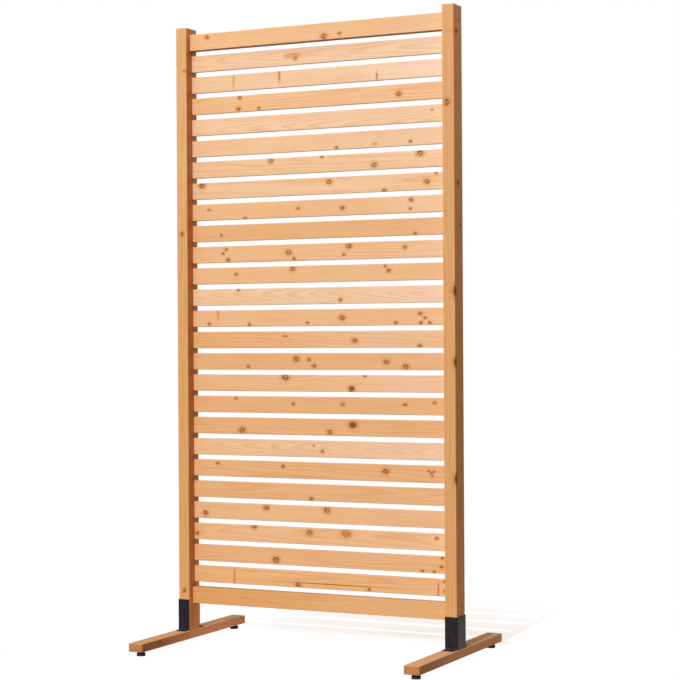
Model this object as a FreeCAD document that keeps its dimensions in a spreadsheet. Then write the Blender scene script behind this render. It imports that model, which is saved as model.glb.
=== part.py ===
"""Free-standing garden privacy screen: two posts, two rails and a ladder of thin slats on levelling feet.

Frame: millimetres, +Z up, +X to the right, -Y to the front. The origin is on the floor, midway between
the posts.
"""

import FreeCAD, Part
import os
import re
import Sketcher

Vector = FreeCAD.Vector
ORIGIN = -1
X_AXIS = -1
Y_AXIS = -2
START = 1
END = 2
CENTRE = 3
SAME_PLACE = 1e-4

# Driving sizes, in millimetres apart from the one count and the one angle.
SIZES = {
    # the frame
    "screen_height": 1800,
    "screen_width": 880,
    "post_width": 35,
    "post_depth": 58,
    "post_edge": 1.6,
    "top_drop": 18,
    "floor_gap": 115.5,
    # the boards
    "slat_count": 25,
    "slat_height": 48,
    "slat_thickness": 9,
    "slat_recess": 32,
    "slat_edge": 1,
    "rail_height": 48,
    "rail_thickness": 27,
    "rail_recess": 21,
    "rail_edge": 1.6,
    # how the boards sit in the posts
    "housing_depth": 10,
    "housing_clearance": 0.15,
    "housing_end_gap": 0.5,
    # the feet
    "beam_length": 590,
    "beam_width": 45,
    "beam_height": 24,
    "beam_lift": 14,
    "beam_edge": 2,
    # the folded steel brackets
    "plate_height": 90,
    "plate_thickness": 2.3,
    "plate_clearance": 0.2,
    "plate_setback": 0.5,
    "corner_bend": 1.8,
    "tab_length": 21,
    "tab_bend": 2,
    "tab_relief": 1,
    "tab_corner": 2,
    "plate_screw_low": 32,
    "plate_screw_spacing": 33,
    "tab_screw_inset": 9,
    # countersunk screws through the posts into the boards
    "frame_screw_diameter": 3.5,
    "frame_screw_length": 50,
    "frame_screw_head": 7.4,
    "frame_screw_sink": 0.4,
    "countersink_angle": 90,
    "bottom_screw_low": 21.5,
    "bottom_screw_spacing": 16,
    # pan-head screws through the brackets into the wood
    "bracket_screw_diameter": 4,
    "bracket_screw_length": 18,
    "bracket_screw_head": 8.4,
    "bracket_screw_head_height": 2.6,
    "screw_clearance": 0.2,
    "pilot_spare": 1,
    # the levelling feet
    "pad_diameter": 25,
    "pad_height": 8.5,
    "pad_bevel": 1.2,
    "pad_neck_diameter": 14,
    "pad_inset": 30,
    "sole_thickness": 3,
    "stud_diameter": 6,
    "stud_top": 31,
    "ankle_diameter": 10,
    "ankle_thickness": 2,
    "swivel_clearance": 0.3,
    "swivel_play": 0.1,
    "thread_clearance": 0.05,
    "stop_gap": 0.1,
    "insert_diameter": 9.5,
    "insert_length": 12,
    "insert_flange_diameter": 18,
    "insert_flange_thickness": 1.5,
    "insert_fit": 0.05,
    "stud_headroom": 3,
}

# Places and fits worked out from the driving sizes.
DERIVED = {
    "post_x": "(screen_width - post_width) / 2",
    "outer_x": "screen_width / 2",
    "inner_x": "screen_width / 2 - post_width",
    "beam_top": "beam_lift + beam_height",
    "front_y": "-post_depth / 2",
    "rail_front_y": "front_y + rail_recess",
    "slat_front_y": "front_y + slat_recess",
    "slat_screw_y": "slat_front_y + slat_thickness / 2",
    "rail_screw_y": "rail_front_y + rail_thickness / 2",
    "bottom_rail_z": "floor_gap",
    "top_rail_z": "screen_height - top_drop - rail_height",
    "slat_room": "top_rail_z - bottom_rail_z - rail_height",
    "slat_gap": "(slat_room - slat_count * slat_height) / (slat_count + 1)",
    "slat_pitch": "slat_height + slat_gap",
    "first_slat_z": "bottom_rail_z + rail_height + slat_gap",
    "board_reach": "inner_x + housing_depth - housing_end_gap",
    "pilot_depth": "bracket_screw_length - plate_thickness + pilot_spare",
    "plate_inner_y": "post_depth / 2 + plate_clearance",
    "plate_outer_y": "plate_inner_y + plate_thickness",
    "plate_inner_x": "outer_x + plate_clearance",
    "plate_outer_x": "plate_inner_x + plate_thickness",
    "plate_open_x": "inner_x + plate_setback",
    "outer_bend": "corner_bend + plate_thickness",
    "fold_z": "beam_top + plate_thickness + tab_bend + tab_relief",
    "tab_end_y": "plate_outer_y + tab_length",
    "tab_side_x": "plate_outer_x - outer_bend - tab_relief",
    "tab_middle_x": "(plate_open_x + tab_side_x) / 2",
    "tab_screw_y": "tab_end_y - tab_screw_inset",
    "plate_screw_z": "beam_top + plate_screw_low",
    "foot_y": "beam_length / 2 - pad_inset",
    "insert_bottom": "beam_lift - insert_flange_thickness",
    "neck_top": "insert_bottom - stop_gap",
    "ankle_bottom": "sole_thickness + swivel_play",
    "ankle_top": "ankle_bottom + ankle_thickness",
    "throat_radius": "stud_diameter / 2 + swivel_clearance",
}

doc = FreeCAD.newDocument("privacy_screen")
sheet = doc.addObject("Spreadsheet::Sheet", "Sizes")
for row, (size_name, size) in enumerate(SIZES.items(), start=1):
    sheet.set(f"A{row}", size_name)
    sheet.set(f"B{row}", str(size))
    sheet.setAlias(f"B{row}", size_name)
doc.recompute()


def bound(text):
    """The expression with every derived value worked out and every driving size read from the sheet."""

    def spell(match):
        word = match[0]
        if word in DERIVED:
            return f"({bound(DERIVED[word])})"
        return f"Sizes.{word}" if word in SIZES else word

    return re.sub(r"[a-z][a-z_]*", spell, str(text))


def number(text):
    """What an expression comes to now."""
    return float(sheet.evalExpression(bound(text)))


def new_body(label):
    """An empty body under the sub-part's name."""
    body = doc.addObject("PartDesign::Body", label)
    body.Label = label
    return body


def own_plane(body, role):
    """One of the body's own three planes."""
    return next(feature for feature in body.Origin.OriginFeatures if feature.Role == role)


def new_sketch(body, name, role, offset="0"):
    """A sketch parallel to one of the body's planes, moved along that plane's normal."""
    sketch = body.newObject("Sketcher::SketchObject", name)
    sketch.AttachmentSupport = (own_plane(body, role), [""])
    sketch.MapMode = "FlatFace"
    sketch.setExpression("AttachmentOffset.Base.z", bound(offset))
    return sketch


def constrain(sketch, kind, *places, value):
    """A dimension of the sketch that follows an expression."""
    index = sketch.addConstraint(Sketcher.Constraint(kind, *places, number(value)))
    sketch.setExpression(f"Constraints[{index}]", bound(value))


def place_point(sketch, geometry, point, across, up):
    """Ties a point to its two coordinates in the sketch."""
    for value, kind, axis in ((across, "DistanceX", Y_AXIS), (up, "DistanceY", X_AXIS)):
        if value == "0":
            sketch.addConstraint(Sketcher.Constraint("PointOnObject", geometry, point, axis))
        else:
            constrain(sketch, kind, ORIGIN, START, geometry, point, value=value)


def outline(sketch, corners):
    """A closed outline through (across, up) corners; a third value rounds a square corner to that radius."""
    places = [Vector(number(corner[0]), number(corner[1]), 0) for corner in corners]
    count = len(corners)
    exits = []
    entries = []
    arcs = []
    for index, corner in enumerate(corners):
        here = places[index]
        towards_last = (places[index - 1] - here).normalize()
        towards_next = (places[(index + 1) % count] - here).normalize()
        radius = number(corner[2]) if len(corner) > 2 else 0
        entries.append(here + towards_last * radius)
        exits.append(here + towards_next * radius)
        if radius:
            middle = here + (towards_last + towards_next) * radius
            rim = middle - (towards_last + towards_next).normalize() * radius
            arcs.append((middle, rim, towards_last + towards_next))
        else:
            arcs.append(None)
    first = sketch.GeometryCount
    for index in range(count):
        sketch.addGeometry(Part.LineSegment(exits[index], entries[(index + 1) % count]), False)
    for index, corner in enumerate(corners):
        line_in = first + (index - 1) % count
        line_out = first + index
        if arcs[index] is None:
            sketch.addConstraint(Sketcher.Constraint("Coincident", line_in, END, line_out, START))
            place_point(sketch, line_out, START, corner[0], corner[1])
            continue
        middle, rim, inward = arcs[index]
        arc = sketch.addGeometry(Part.Arc(entries[index], rim, exits[index]), False)
        turns_left = (entries[index] - middle).cross(exits[index] - middle).z > 0
        arc_in, arc_out = (START, END) if turns_left else (END, START)
        sketch.addConstraint(Sketcher.Constraint("Tangent", line_in, END, arc, arc_in))
        sketch.addConstraint(Sketcher.Constraint("Tangent", arc, arc_out, line_out, START))
        constrain(sketch, "Radius", arc, value=corner[2])
        across = f"{corner[0]} + {round(inward.x)} * ({corner[2]})"
        up = f"{corner[1]} + {round(inward.y)} * ({corner[2]})"
        place_point(sketch, arc, CENTRE, across, up)


def rectangle(left, right, low, high):
    """The four corners of a rectangle."""
    return [(left, low), (right, low), (right, high), (left, high)]


def eased_section(left, right, low, high, arris):
    """The outline of a planed board or bar, each corner taken off by a small arris."""
    return [
        (f"{left} + {arris}", low),
        (f"{right} - {arris}", low),
        (right, f"{low} + {arris}"),
        (right, f"{high} - {arris}"),
        (f"{right} - {arris}", high),
        (f"{left} + {arris}", high),
        (left, f"{high} - {arris}"),
        (left, f"{low} + {arris}"),
    ]


def circles(sketch, centres, radius):
    """Equal circles about (across, up) centres."""
    for across, up in centres:
        middle = Vector(number(across), number(up), 0)
        ring = sketch.addGeometry(Part.Circle(middle, Vector(0, 0, 1), number(radius)), False)
        constrain(sketch, "Radius", ring, value=radius)
        place_point(sketch, ring, CENTRE, across, up)


def pad(body, sketch, length):
    """The sketch drawn out along its normal."""
    feature = body.newObject("PartDesign::Pad", f"{sketch.Name}_pad")
    feature.Profile = sketch
    feature.setExpression("Length", bound(length))
    sketch.Visibility = False
    return feature


def pocket(body, sketch, depth, along_normal=False):
    """The sketch cut out of the body, against its normal unless told otherwise; it must remove something."""
    doc.recompute()
    before = body.Shape.Volume
    feature = body.newObject("PartDesign::Pocket", f"{sketch.Name}_cut")
    feature.Profile = sketch
    feature.Reversed = along_normal
    feature.setExpression("Length", bound(depth))
    doc.recompute()
    if not body.Shape.Volume < before:
        raise ValueError(f"{feature.Name} removes nothing")
    return feature


def turned(body, sketch):
    """The sketch turned once round its vertical axis."""
    feature = body.newObject("PartDesign::Revolution", f"{sketch.Name}_turned")
    feature.Profile = sketch
    feature.ReferenceAxis = (sketch, ["V_Axis"])
    feature.Angle = 360
    return feature


def mirrored(body, feature, role):
    """The same feature on the other side of one of the body's planes."""
    copy = body.newObject("PartDesign::Mirrored", f"{feature.Name}_mirrored")
    copy.Originals = [feature]
    copy.MirrorPlane = (own_plane(body, role), [""])
    body.Tip = copy
    return copy


def edges_of(feature, test):
    """Names of the feature's edges whose every vertex passes the test."""
    doc.recompute()
    found = enumerate(feature.Shape.Edges, start=1)
    return [f"Edge{n}" for n, edge in found if all(test(vertex.Point) for vertex in edge.Vertexes)]


def dress(body, kind, feature, edges, size_property, size):
    """A fillet or chamfer along the named edges of a feature."""
    dressing = body.newObject(f"PartDesign::{kind}", f"{feature.Name}_{kind.lower()}")
    dressing.Base = (feature, edges)
    dressing.setExpression(size_property, bound(size))
    return dressing


def near(value, expression):
    """Whether a coordinate lies on the named place."""
    return abs(value - number(expression)) < SAME_PLACE


def mirror_image(label, source):
    """The left-hand sub-part, the right-hand one seen in a mirror."""
    image = doc.addObject("Part::Mirroring", label)
    image.Label = label
    image.Source = source
    image.Normal = Vector(1, 0, 0)
    return image


def group(label, source, places):
    """Copies of one fastener in one sub-part; each place is its three coordinates and its rotation."""
    copies = []
    for index, (place, rotation) in enumerate(places, start=1):
        copy = doc.addObject("App::Link", f"{label}_{index}")
        copy.LinkedObject = source
        copy.Placement = FreeCAD.Placement(Vector(), rotation)
        for axis, value in zip("xyz", place):
            copy.setExpression(f"Placement.Base.{axis}", bound(value))
        copies.append(copy)
    compound = doc.addObject("Part::Compound", label)
    compound.Label = label
    compound.Links = copies
    return compound


def frame_screw_places():
    """(depth, height) of each screw that runs through a post into a board's end, seen from the side."""
    upper_third = "first_slat_z + floor(slat_count * 2 / 3) * slat_pitch + slat_height / 2"
    lower_third = "first_slat_z + floor(slat_count / 3) * slat_pitch + slat_height / 2"
    low = "bottom_rail_z + bottom_screw_low"
    return {
        "rail_top": [("rail_screw_y", "top_rail_z + rail_height / 2")],
        "upper_slat": [("slat_screw_y", upper_third)],
        "lower_slat": [("slat_screw_y", lower_third)],
        "rail_bottom": [("rail_screw_y", low), ("rail_screw_y", f"{low} + bottom_screw_spacing")],
    }


def housing(front, thickness, low, high):
    """The outline of a board's housing in a post, its running clearance included."""
    return rectangle(
        f"{front} - housing_clearance",
        f"{front} + {thickness} + housing_clearance",
        f"{low} - housing_clearance",
        f"{high} + housing_clearance",
    )


def make_post(label):
    """The right-hand post: eased edges, a row of blind housings inside, sunk screw holes outside."""
    body = new_body(label)
    section = new_sketch(body, f"{label}_section", "XY_Plane", "beam_top")
    outline(section, eased_section("inner_x", "outer_x", "front_y", "-front_y", "post_edge"))
    block = pad(body, section, "screen_height - beam_top")
    top_edges = edges_of(block, lambda point: near(point.z, "screen_height"))
    dress(body, "Chamfer", block, top_edges, "Size", "post_edge")

    slat_seat = new_sketch(body, f"{label}_slat_seat", "YZ_Plane", "inner_x")
    first_slat_top = "first_slat_z + slat_height"
    outline(slat_seat, housing("slat_front_y", "slat_thickness", "first_slat_z", first_slat_top))
    seat = pocket(body, slat_seat, "housing_depth", along_normal=True)
    row_of_seats = body.newObject("PartDesign::LinearPattern", f"{label}_slat_seats")
    row_of_seats.Originals = [seat]
    row_of_seats.Direction = (slat_seat, ["V_Axis"])
    row_of_seats.setExpression("Length", bound("(slat_count - 1) * slat_pitch"))
    row_of_seats.setExpression("Occurrences", bound("slat_count"))
    body.Tip = row_of_seats

    rail_seats = new_sketch(body, f"{label}_rail_seats", "YZ_Plane", "inner_x")
    for low in ("bottom_rail_z", "top_rail_z"):
        outline(rail_seats, housing("rail_front_y", "rail_thickness", low, f"{low} + rail_height"))
    pocket(body, rail_seats, "housing_depth", along_normal=True)

    screw_holes = new_sketch(body, f"{label}_screw_holes", "YZ_Plane", "outer_x")
    centres = [centre for board in frame_screw_places().values() for centre in board]
    circles(screw_holes, centres, "frame_screw_diameter / 2 + screw_clearance")
    doc.recompute()
    sunk = body.newObject("PartDesign::Hole", f"{label}_sunk_holes")
    sunk.Profile = screw_holes
    doc.recompute()
    sunk.DepthType = "ThroughAll"
    sunk.HoleCutType = "Countersink"
    sunk.setExpression("Diameter", bound("frame_screw_diameter + 2 * screw_clearance"))
    mouth = "frame_screw_head + 2 * (screw_clearance + frame_screw_sink)"
    sunk.setExpression("HoleCutDiameter", bound(mouth))
    sunk.setExpression("HoleCutCountersinkAngle", bound("countersink_angle"))

    pilots = new_sketch(body, f"{label}_pilots", "XZ_Plane", "-front_y")
    heights = ("plate_screw_z", "plate_screw_z + plate_screw_spacing")
    circles(pilots, [("post_x", z) for z in heights], "bracket_screw_diameter / 2 + screw_clearance")
    mirrored(body, pocket(body, pilots, "pilot_depth"), "XZ_Plane")
    return body


def is_upright(feature, edge_name):
    """Whether an edge runs straight up."""
    edge = feature.Shape.getElement(edge_name)
    first, last = (vertex.Point for vertex in edge.Vertexes)
    return abs(first.x - last.x) < SAME_PLACE and abs(first.y - last.y) < SAME_PLACE


def make_board(label, front, thickness, low, height, edge, screws):
    """A board from housing to housing with eased long edges, and a pilot hole in each end for each screw."""
    body = new_body(label)
    section = new_sketch(body, f"{label}_section", "YZ_Plane", "-board_reach")
    outline(section, eased_section(front, f"{front} + {thickness}", low, f"{low} + {height}", edge))
    pad(body, section, "2 * board_reach")
    if screws:
        pilots = new_sketch(body, f"{label}_pilots", "YZ_Plane", "board_reach")
        circles(pilots, screws, "frame_screw_diameter / 2 + screw_clearance")
        depth = "frame_screw_length - frame_screw_sink - outer_x + board_reach + pilot_spare"
        mirrored(body, pocket(body, pilots, depth), "YZ_Plane")
    return body


def make_rail(label, low, screws):
    """One of the two thicker boards."""
    return make_board(label, "rail_front_y", "rail_thickness", low, "rail_height", "rail_edge", screws)


def make_beam(label):
    """The right-hand foot: a bar along Y with eased edges, bored from below for inserts and studs."""
    body = new_body(label)
    section = new_sketch(body, f"{label}_section", "XZ_Plane", "-beam_length / 2")
    left, right = "post_x - beam_width / 2", "post_x + beam_width / 2"
    outline(section, eased_section(left, right, "beam_lift", "beam_top", "beam_edge"))
    bar = pad(body, section, "beam_length")
    ends = edges_of(bar, lambda point: near(abs(point.y), "beam_length / 2"))
    dress(body, "Chamfer", bar, ends, "Size", "beam_edge / 2")

    centres = [("post_x", "foot_y"), ("post_x", "-foot_y")]
    insert_holes = new_sketch(body, f"{label}_insert_holes", "XY_Plane", "beam_lift")
    circles(insert_holes, centres, "insert_diameter / 2 + insert_fit")
    pocket(body, insert_holes, "insert_length", along_normal=True)
    stud_holes = new_sketch(body, f"{label}_stud_holes", "XY_Plane", "beam_lift")
    circles(stud_holes, centres, "stud_diameter / 2 + swivel_clearance")
    pocket(body, stud_holes, "stud_top - beam_lift + stud_headroom", along_normal=True)

    pilots = new_sketch(body, f"{label}_pilots", "XY_Plane", "beam_top")
    centres = [("tab_middle_x", "tab_screw_y"), ("tab_middle_x", "-tab_screw_y")]
    circles(pilots, centres, "bracket_screw_diameter / 2 + screw_clearance")
    pocket(body, pilots, "pilot_depth")
    return body


def make_bracket(label):
    """The right-hand bracket: one strip of steel folded round three sides of the post.

    A tab turned out in front and one behind lie on the beam.
    """
    body = new_body(label)
    tab_profile = new_sketch(body, f"{label}_tab_profile", "YZ_Plane", "plate_open_x")
    outline(
        tab_profile,
        [
            ("plate_inner_y", "fold_z"),
            ("plate_inner_y", "beam_top", "tab_bend + plate_thickness"),
            ("tab_end_y", "beam_top"),
            ("tab_end_y", "beam_top + plate_thickness"),
            ("plate_outer_y", "beam_top + plate_thickness", "tab_bend"),
            ("plate_outer_y", "fold_z"),
        ],
    )
    tab = pad(body, tab_profile, "tab_side_x - plate_open_x")
    mirrored(body, tab, "XZ_Plane")

    channel = new_sketch(body, f"{label}_channel", "XY_Plane", "fold_z")
    outline(
        channel,
        [
            ("plate_open_x", "-plate_outer_y"),
            ("plate_outer_x", "-plate_outer_y", "outer_bend"),
            ("plate_outer_x", "plate_outer_y", "outer_bend"),
            ("plate_open_x", "plate_outer_y"),
            ("plate_open_x", "plate_inner_y"),
            ("plate_inner_x", "plate_inner_y", "corner_bend"),
            ("plate_inner_x", "-plate_inner_y", "corner_bend"),
            ("plate_open_x", "-plate_inner_y"),
        ],
    )
    pad(body, channel, "plate_height - (fold_z - beam_top)")

    skirt = new_sketch(body, f"{label}_skirt", "XY_Plane", "beam_top")
    side_y = "plate_outer_y - outer_bend"
    outline(skirt, rectangle("plate_inner_x", "plate_outer_x", f"-({side_y})", side_y))
    skirt_pad = pad(body, skirt, "fold_z - beam_top")

    tab_tips = edges_of(skirt_pad, lambda point: near(abs(point.y), "tab_end_y"))
    tip_corners = [edge for edge in tab_tips if is_upright(skirt_pad, edge)]
    dress(body, "Fillet", skirt_pad, tip_corners, "Radius", "tab_corner")

    hole_radius = "bracket_screw_diameter / 2 + screw_clearance"
    plate_holes = new_sketch(body, f"{label}_plate_holes", "XZ_Plane", "plate_outer_y")
    heights = ("plate_screw_z", "plate_screw_z + plate_screw_spacing")
    circles(plate_holes, [("post_x", z) for z in heights], hole_radius)
    pocket(body, plate_holes, "2 * plate_outer_y")
    tab_holes = new_sketch(body, f"{label}_tab_holes", "XY_Plane", "beam_top + plate_thickness")
    circles(tab_holes, [("tab_middle_x", "tab_screw_y"), ("tab_middle_x", "-tab_screw_y")], hole_radius)
    pocket(body, tab_holes, "plate_thickness")
    return body


def make_frame_screw(label):
    """A countersunk screw, head up, its head's flat top at the origin."""
    body = new_body(label)
    profile = new_sketch(body, f"{label}_profile", "XZ_Plane")
    cone_depth = "(frame_screw_head - frame_screw_diameter) / 2 / tan(countersink_angle / 2 * 1 deg)"
    outline(
        profile,
        [
            ("0", "0"),
            ("0", "-frame_screw_length"),
            ("frame_screw_diameter / 2", "-frame_screw_length"),
            ("frame_screw_diameter / 2", f"-{cone_depth}"),
            ("frame_screw_head / 2", "0"),
        ],
    )
    turned(body, profile)
    return body


def make_bracket_screw(label):
    """A pan-head screw, head up, the underside of its head at the origin."""
    body = new_body(label)
    profile = new_sketch(body, f"{label}_profile", "XZ_Plane")
    outline(
        profile,
        [
            ("0", "bracket_screw_head_height"),
            ("0", "-bracket_screw_length"),
            ("bracket_screw_diameter / 2", "-bracket_screw_length"),
            ("bracket_screw_diameter / 2", "0"),
            ("bracket_screw_head / 2", "0"),
            ("bracket_screw_head / 2", "bracket_screw_head_height"),
        ],
    )
    turned(body, profile)
    return body


def make_insert(label):
    """A flanged steel bush with the foot's thread in its bore, its flange downwards on the floor plane."""
    body = new_body(label)
    profile = new_sketch(body, f"{label}_profile", "XZ_Plane")
    bore = "stud_diameter / 2 + thread_clearance"
    outline(
        profile,
        [
            (bore, "0"),
            ("insert_flange_diameter / 2", "0"),
            ("insert_flange_diameter / 2", "insert_flange_thickness"),
            ("insert_diameter / 2", "insert_flange_thickness"),
            ("insert_diameter / 2", "insert_flange_thickness + insert_length"),
            (bore, "insert_flange_thickness + insert_length"),
        ],
    )
    turned(body, profile)
    return body


def stand_at(body, across, depth):
    """Stands a turned sub-part on the floor at a foot."""
    body.setExpression("Placement.Base.x", bound(across))
    body.setExpression("Placement.Base.y", bound(depth))
    return body


def make_pad(label, across, depth):
    """A round plastic glide: flat sole, bevelled top, raised neck, hollow that traps the stud's ankle."""
    body = new_body(label)
    profile = new_sketch(body, f"{label}_profile", "XZ_Plane")
    hollow = "ankle_diameter / 2 + swivel_clearance"
    outline(
        profile,
        [
            ("0", "0"),
            ("pad_diameter / 2", "0"),
            ("pad_diameter / 2", "pad_height - pad_bevel"),
            ("pad_diameter / 2 - pad_bevel", "pad_height"),
            ("pad_neck_diameter / 2", "pad_height"),
            ("pad_neck_diameter / 2", "neck_top"),
            ("throat_radius", "neck_top"),
            ("throat_radius", "ankle_top + swivel_play"),
            (hollow, "ankle_top + swivel_play"),
            (hollow, "sole_thickness"),
            ("0", "sole_thickness"),
        ],
    )
    turned(body, profile)
    return stand_at(body, across, depth)


def make_stud(label, across, depth):
    """The screw of a levelling foot: a plain shank, and an ankle below that turns inside the glide."""
    body = new_body(label)
    profile = new_sketch(body, f"{label}_profile", "XZ_Plane")
    outline(
        profile,
        [
            ("0", "ankle_bottom"),
            ("ankle_diameter / 2", "ankle_bottom"),
            ("ankle_diameter / 2", "ankle_top"),
            ("stud_diameter / 2", "ankle_top"),
            ("stud_diameter / 2", "stud_top"),
            ("0", "stud_top"),
        ],
    )
    turned(body, profile)
    return stand_at(body, across, depth)


def make_boards():
    """Bottom rail, slats from the lowest up, and top rail."""
    screws = frame_screw_places()
    count = int(number("slat_count"))
    screwed = {count // 3: screws["lower_slat"], count * 2 // 3: screws["upper_slat"]}
    boards = [make_rail("rail_bottom", "bottom_rail_z", screws["rail_bottom"])]
    for step in range(count):
        low = f"first_slat_z + {step} * slat_pitch"
        slat = ("slat_front_y", "slat_thickness", low, "slat_height", "slat_edge")
        boards.append(make_board(f"slat_{count - step:02d}", *slat, screwed.get(step, [])))
    boards.append(make_rail("rail_top", "top_rail_z", screws["rail_top"]))
    return boards


def make_screw_groups(side, sign):
    """The three groups of screws on one side of the screen."""
    frame_screw = doc.getObject("frame_screw")
    bracket_screw = doc.getObject("bracket_screw")
    sideways = FreeCAD.Rotation(Vector(0, 1, 0), sign * 90)
    frame_places = []
    for board in frame_screw_places().values():
        for depth, height in board:
            frame_places.append(((f"{sign} * (outer_x - frame_screw_sink)", depth, height), sideways))
    plate_places = []
    tab_places = []
    for facing in (-1, 1):
        outward = FreeCAD.Rotation(Vector(1, 0, 0), -facing * 90)
        for height in ("plate_screw_z", "plate_screw_z + plate_screw_spacing"):
            plate_places.append(((f"{sign} * post_x", f"{facing} * plate_outer_y", height), outward))
        on_tab = (f"{sign} * tab_middle_x", f"{facing} * tab_screw_y", "beam_top + plate_thickness")
        tab_places.append((on_tab, FreeCAD.Rotation()))
    return [
        group(f"frame_screws_{side}", frame_screw, frame_places),
        group(f"bracket_post_screws_{side}", bracket_screw, plate_places),
        group(f"bracket_base_screws_{side}", bracket_screw, tab_places),
    ]


def make_feet():
    """Four levelling feet and the group of bushes that they screw into."""
    parts = []
    places = []
    for side, sign in (("left", -1), ("right", 1)):
        for end, facing in (("front", -1), ("rear", 1)):
            across = f"{sign} * post_x"
            depth = f"{facing} * foot_y"
            parts.append(make_pad(f"leveller_pad_{end}_{side}", across, depth))
            parts.append(make_stud(f"leveller_stud_{end}_{side}", across, depth))
            places.append(((across, depth, "insert_bottom"), FreeCAD.Rotation()))
    parts.append(group("threaded_inserts", doc.getObject("insert"), places))
    return parts


def make_parts():
    """Every sub-part of the screen."""
    make_frame_screw("frame_screw")
    make_bracket_screw("bracket_screw")
    make_insert("insert")
    parts = make_boards()
    for name, make in (("post", make_post), ("foot_beam", make_beam), ("bracket", make_bracket)):
        right = make(f"{name}_right")
        parts += [right, mirror_image(f"{name}_left", right)]
    parts += make_feet()
    for side, sign in (("left", -1), ("right", 1)):
        parts += make_screw_groups(side, sign)
    return parts


def check_document(parts):
    """Stops the build if an object failed or a sub-part has no sound solid."""
    doc.recompute()
    for item in doc.Objects:
        if "Invalid" in item.State or "Error" in item.State:
            raise ValueError(f"{item.Name} failed: {item.State}")
    for part in parts:
        if part.Shape.isNull() or not part.Shape.isValid() or not part.Shape.Solids:
            raise ValueError(f"{part.Label} has no sound shape")


def write_parts(parts):
    """One STEP file for each sub-part, named by its label."""
    os.makedirs("parts", exist_ok=True)
    for part in parts:
        part.Shape.exportStep(f"parts/{part.Label}.step")
        box = part.Shape.BoundBox
        print(f"{part.Label}: {len(part.Shape.Solids)} solid(s), z {box.ZMin:.2f} to {box.ZMax:.2f}")


screen_parts = make_parts()
check_document(screen_parts)
write_parts(screen_parts)
print(f"{len(screen_parts)} sub-parts, slat gap {number('slat_gap'):.2f}")
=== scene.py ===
"""Looks of the garden privacy screen: oiled larch, black powder-coated steel, screws and levelling feet.

Metres, +Z up, +X to the right, -Y to the front, origin on the floor midway between the posts. Every piece
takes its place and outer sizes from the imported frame; the classes below add what the frame doesn't say.
"""

import logging
import math
import random
from collections.abc import Callable, Iterable, Sequence
from dataclasses import dataclass, field
from enum import Enum

import bmesh
import bpy
from mathutils import Matrix, Vector


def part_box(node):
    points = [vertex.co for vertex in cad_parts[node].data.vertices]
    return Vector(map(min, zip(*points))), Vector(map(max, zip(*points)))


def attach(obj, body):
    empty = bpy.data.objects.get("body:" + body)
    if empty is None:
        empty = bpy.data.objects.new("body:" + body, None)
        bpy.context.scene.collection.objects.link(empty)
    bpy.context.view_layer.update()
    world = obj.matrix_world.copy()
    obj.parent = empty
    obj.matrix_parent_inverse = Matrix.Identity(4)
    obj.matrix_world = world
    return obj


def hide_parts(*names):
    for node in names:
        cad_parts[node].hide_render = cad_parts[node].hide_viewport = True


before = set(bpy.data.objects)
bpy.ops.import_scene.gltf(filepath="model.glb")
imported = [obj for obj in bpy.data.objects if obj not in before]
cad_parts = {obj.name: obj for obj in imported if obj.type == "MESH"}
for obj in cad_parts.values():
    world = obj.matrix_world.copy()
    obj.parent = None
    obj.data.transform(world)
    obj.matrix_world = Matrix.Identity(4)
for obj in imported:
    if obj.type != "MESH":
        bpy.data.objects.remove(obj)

LOG = logging.getLogger("privacy_screen")
MM = 0.001
QUARTER = math.pi / 2
FULL_TURN = 2 * math.pi
# How wide a knot is at least, in millimetres, if its middle shows a ring.
RINGED_FROM = 12.0
# How far a form that cuts stands out of the face that it enters, in millimetres.
PROUD = 1.0
# Points nearer than this, in millimetres, count as one place.
TINY = 0.01
# The flat steps in a quarter bend of the steel.
BEND_STEPS = 7

Colour = tuple[float, float, float]


# -------------------------------------------------- shader graphs


def node_operator(operation: str, reflected: bool = False) -> Callable[["Value", "Value | float"], "Value"]:
    """An operator that makes a Math node of both sides.

    Args:
        operation: what the node does.
        reflected: whether the value stands on the right.

    Returns:
        The method for the operator.
    """

    def operator(value: "Value", other: "Value | float") -> "Value":
        """The two joined."""
        return value.joined(operation, *((other, value) if reflected else (value, other)))

    return operator


class Value:
    """A number that varies over a surface, written in sums like any other."""

    def __init__(self, graph: "Graph", socket: bpy.types.NodeSocket) -> None:
        """Wraps an output socket."""
        self.graph = graph
        self.socket = socket

    def joined(self, operation: str, *inputs: "Value | float") -> "Value":
        """A Math node on these inputs."""
        return self.graph.node("ShaderNodeMath", {"operation": operation}, dict(enumerate(inputs)))

    __add__ = node_operator("ADD")
    __radd__ = node_operator("ADD", reflected=True)
    __sub__ = node_operator("SUBTRACT")
    __rsub__ = node_operator("SUBTRACT", reflected=True)
    __mul__ = node_operator("MULTIPLY")
    __rmul__ = node_operator("MULTIPLY", reflected=True)
    __truediv__ = node_operator("DIVIDE")
    __rtruediv__ = node_operator("DIVIDE", reflected=True)
    __pow__ = node_operator("POWER")

    def at_least(self, other: "Value | float") -> "Value":
        """The larger of the two."""
        return self.joined("MAXIMUM", self, other)

    def at_most(self, other: "Value | float") -> "Value":
        """The smaller of the two."""
        return self.joined("MINIMUM", self, other)

    def size(self) -> "Value":
        """The value without its sign."""
        return self.joined("ABSOLUTE", self)

    def cycle(self) -> "Value":
        """What is left over after the last whole number."""
        return self.joined("FRACT", self)

    def eased(self, start: float, stop: float, first: float = 0.0, last: float = 1.0) -> "Value":
        """A smooth step.

        Args:
            start: the value at which the step begins.
            stop: the value at which it ends.
            first: the result up to start.
            last: the result from stop on.

        Returns:
            The stepped value.
        """
        inputs = {0: self, 1: start, 2: stop, 3: first, 4: last}
        return self.graph.node("ShaderNodeMapRange", {"interpolation_type": "SMOOTHSTEP"}, inputs)


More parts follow.
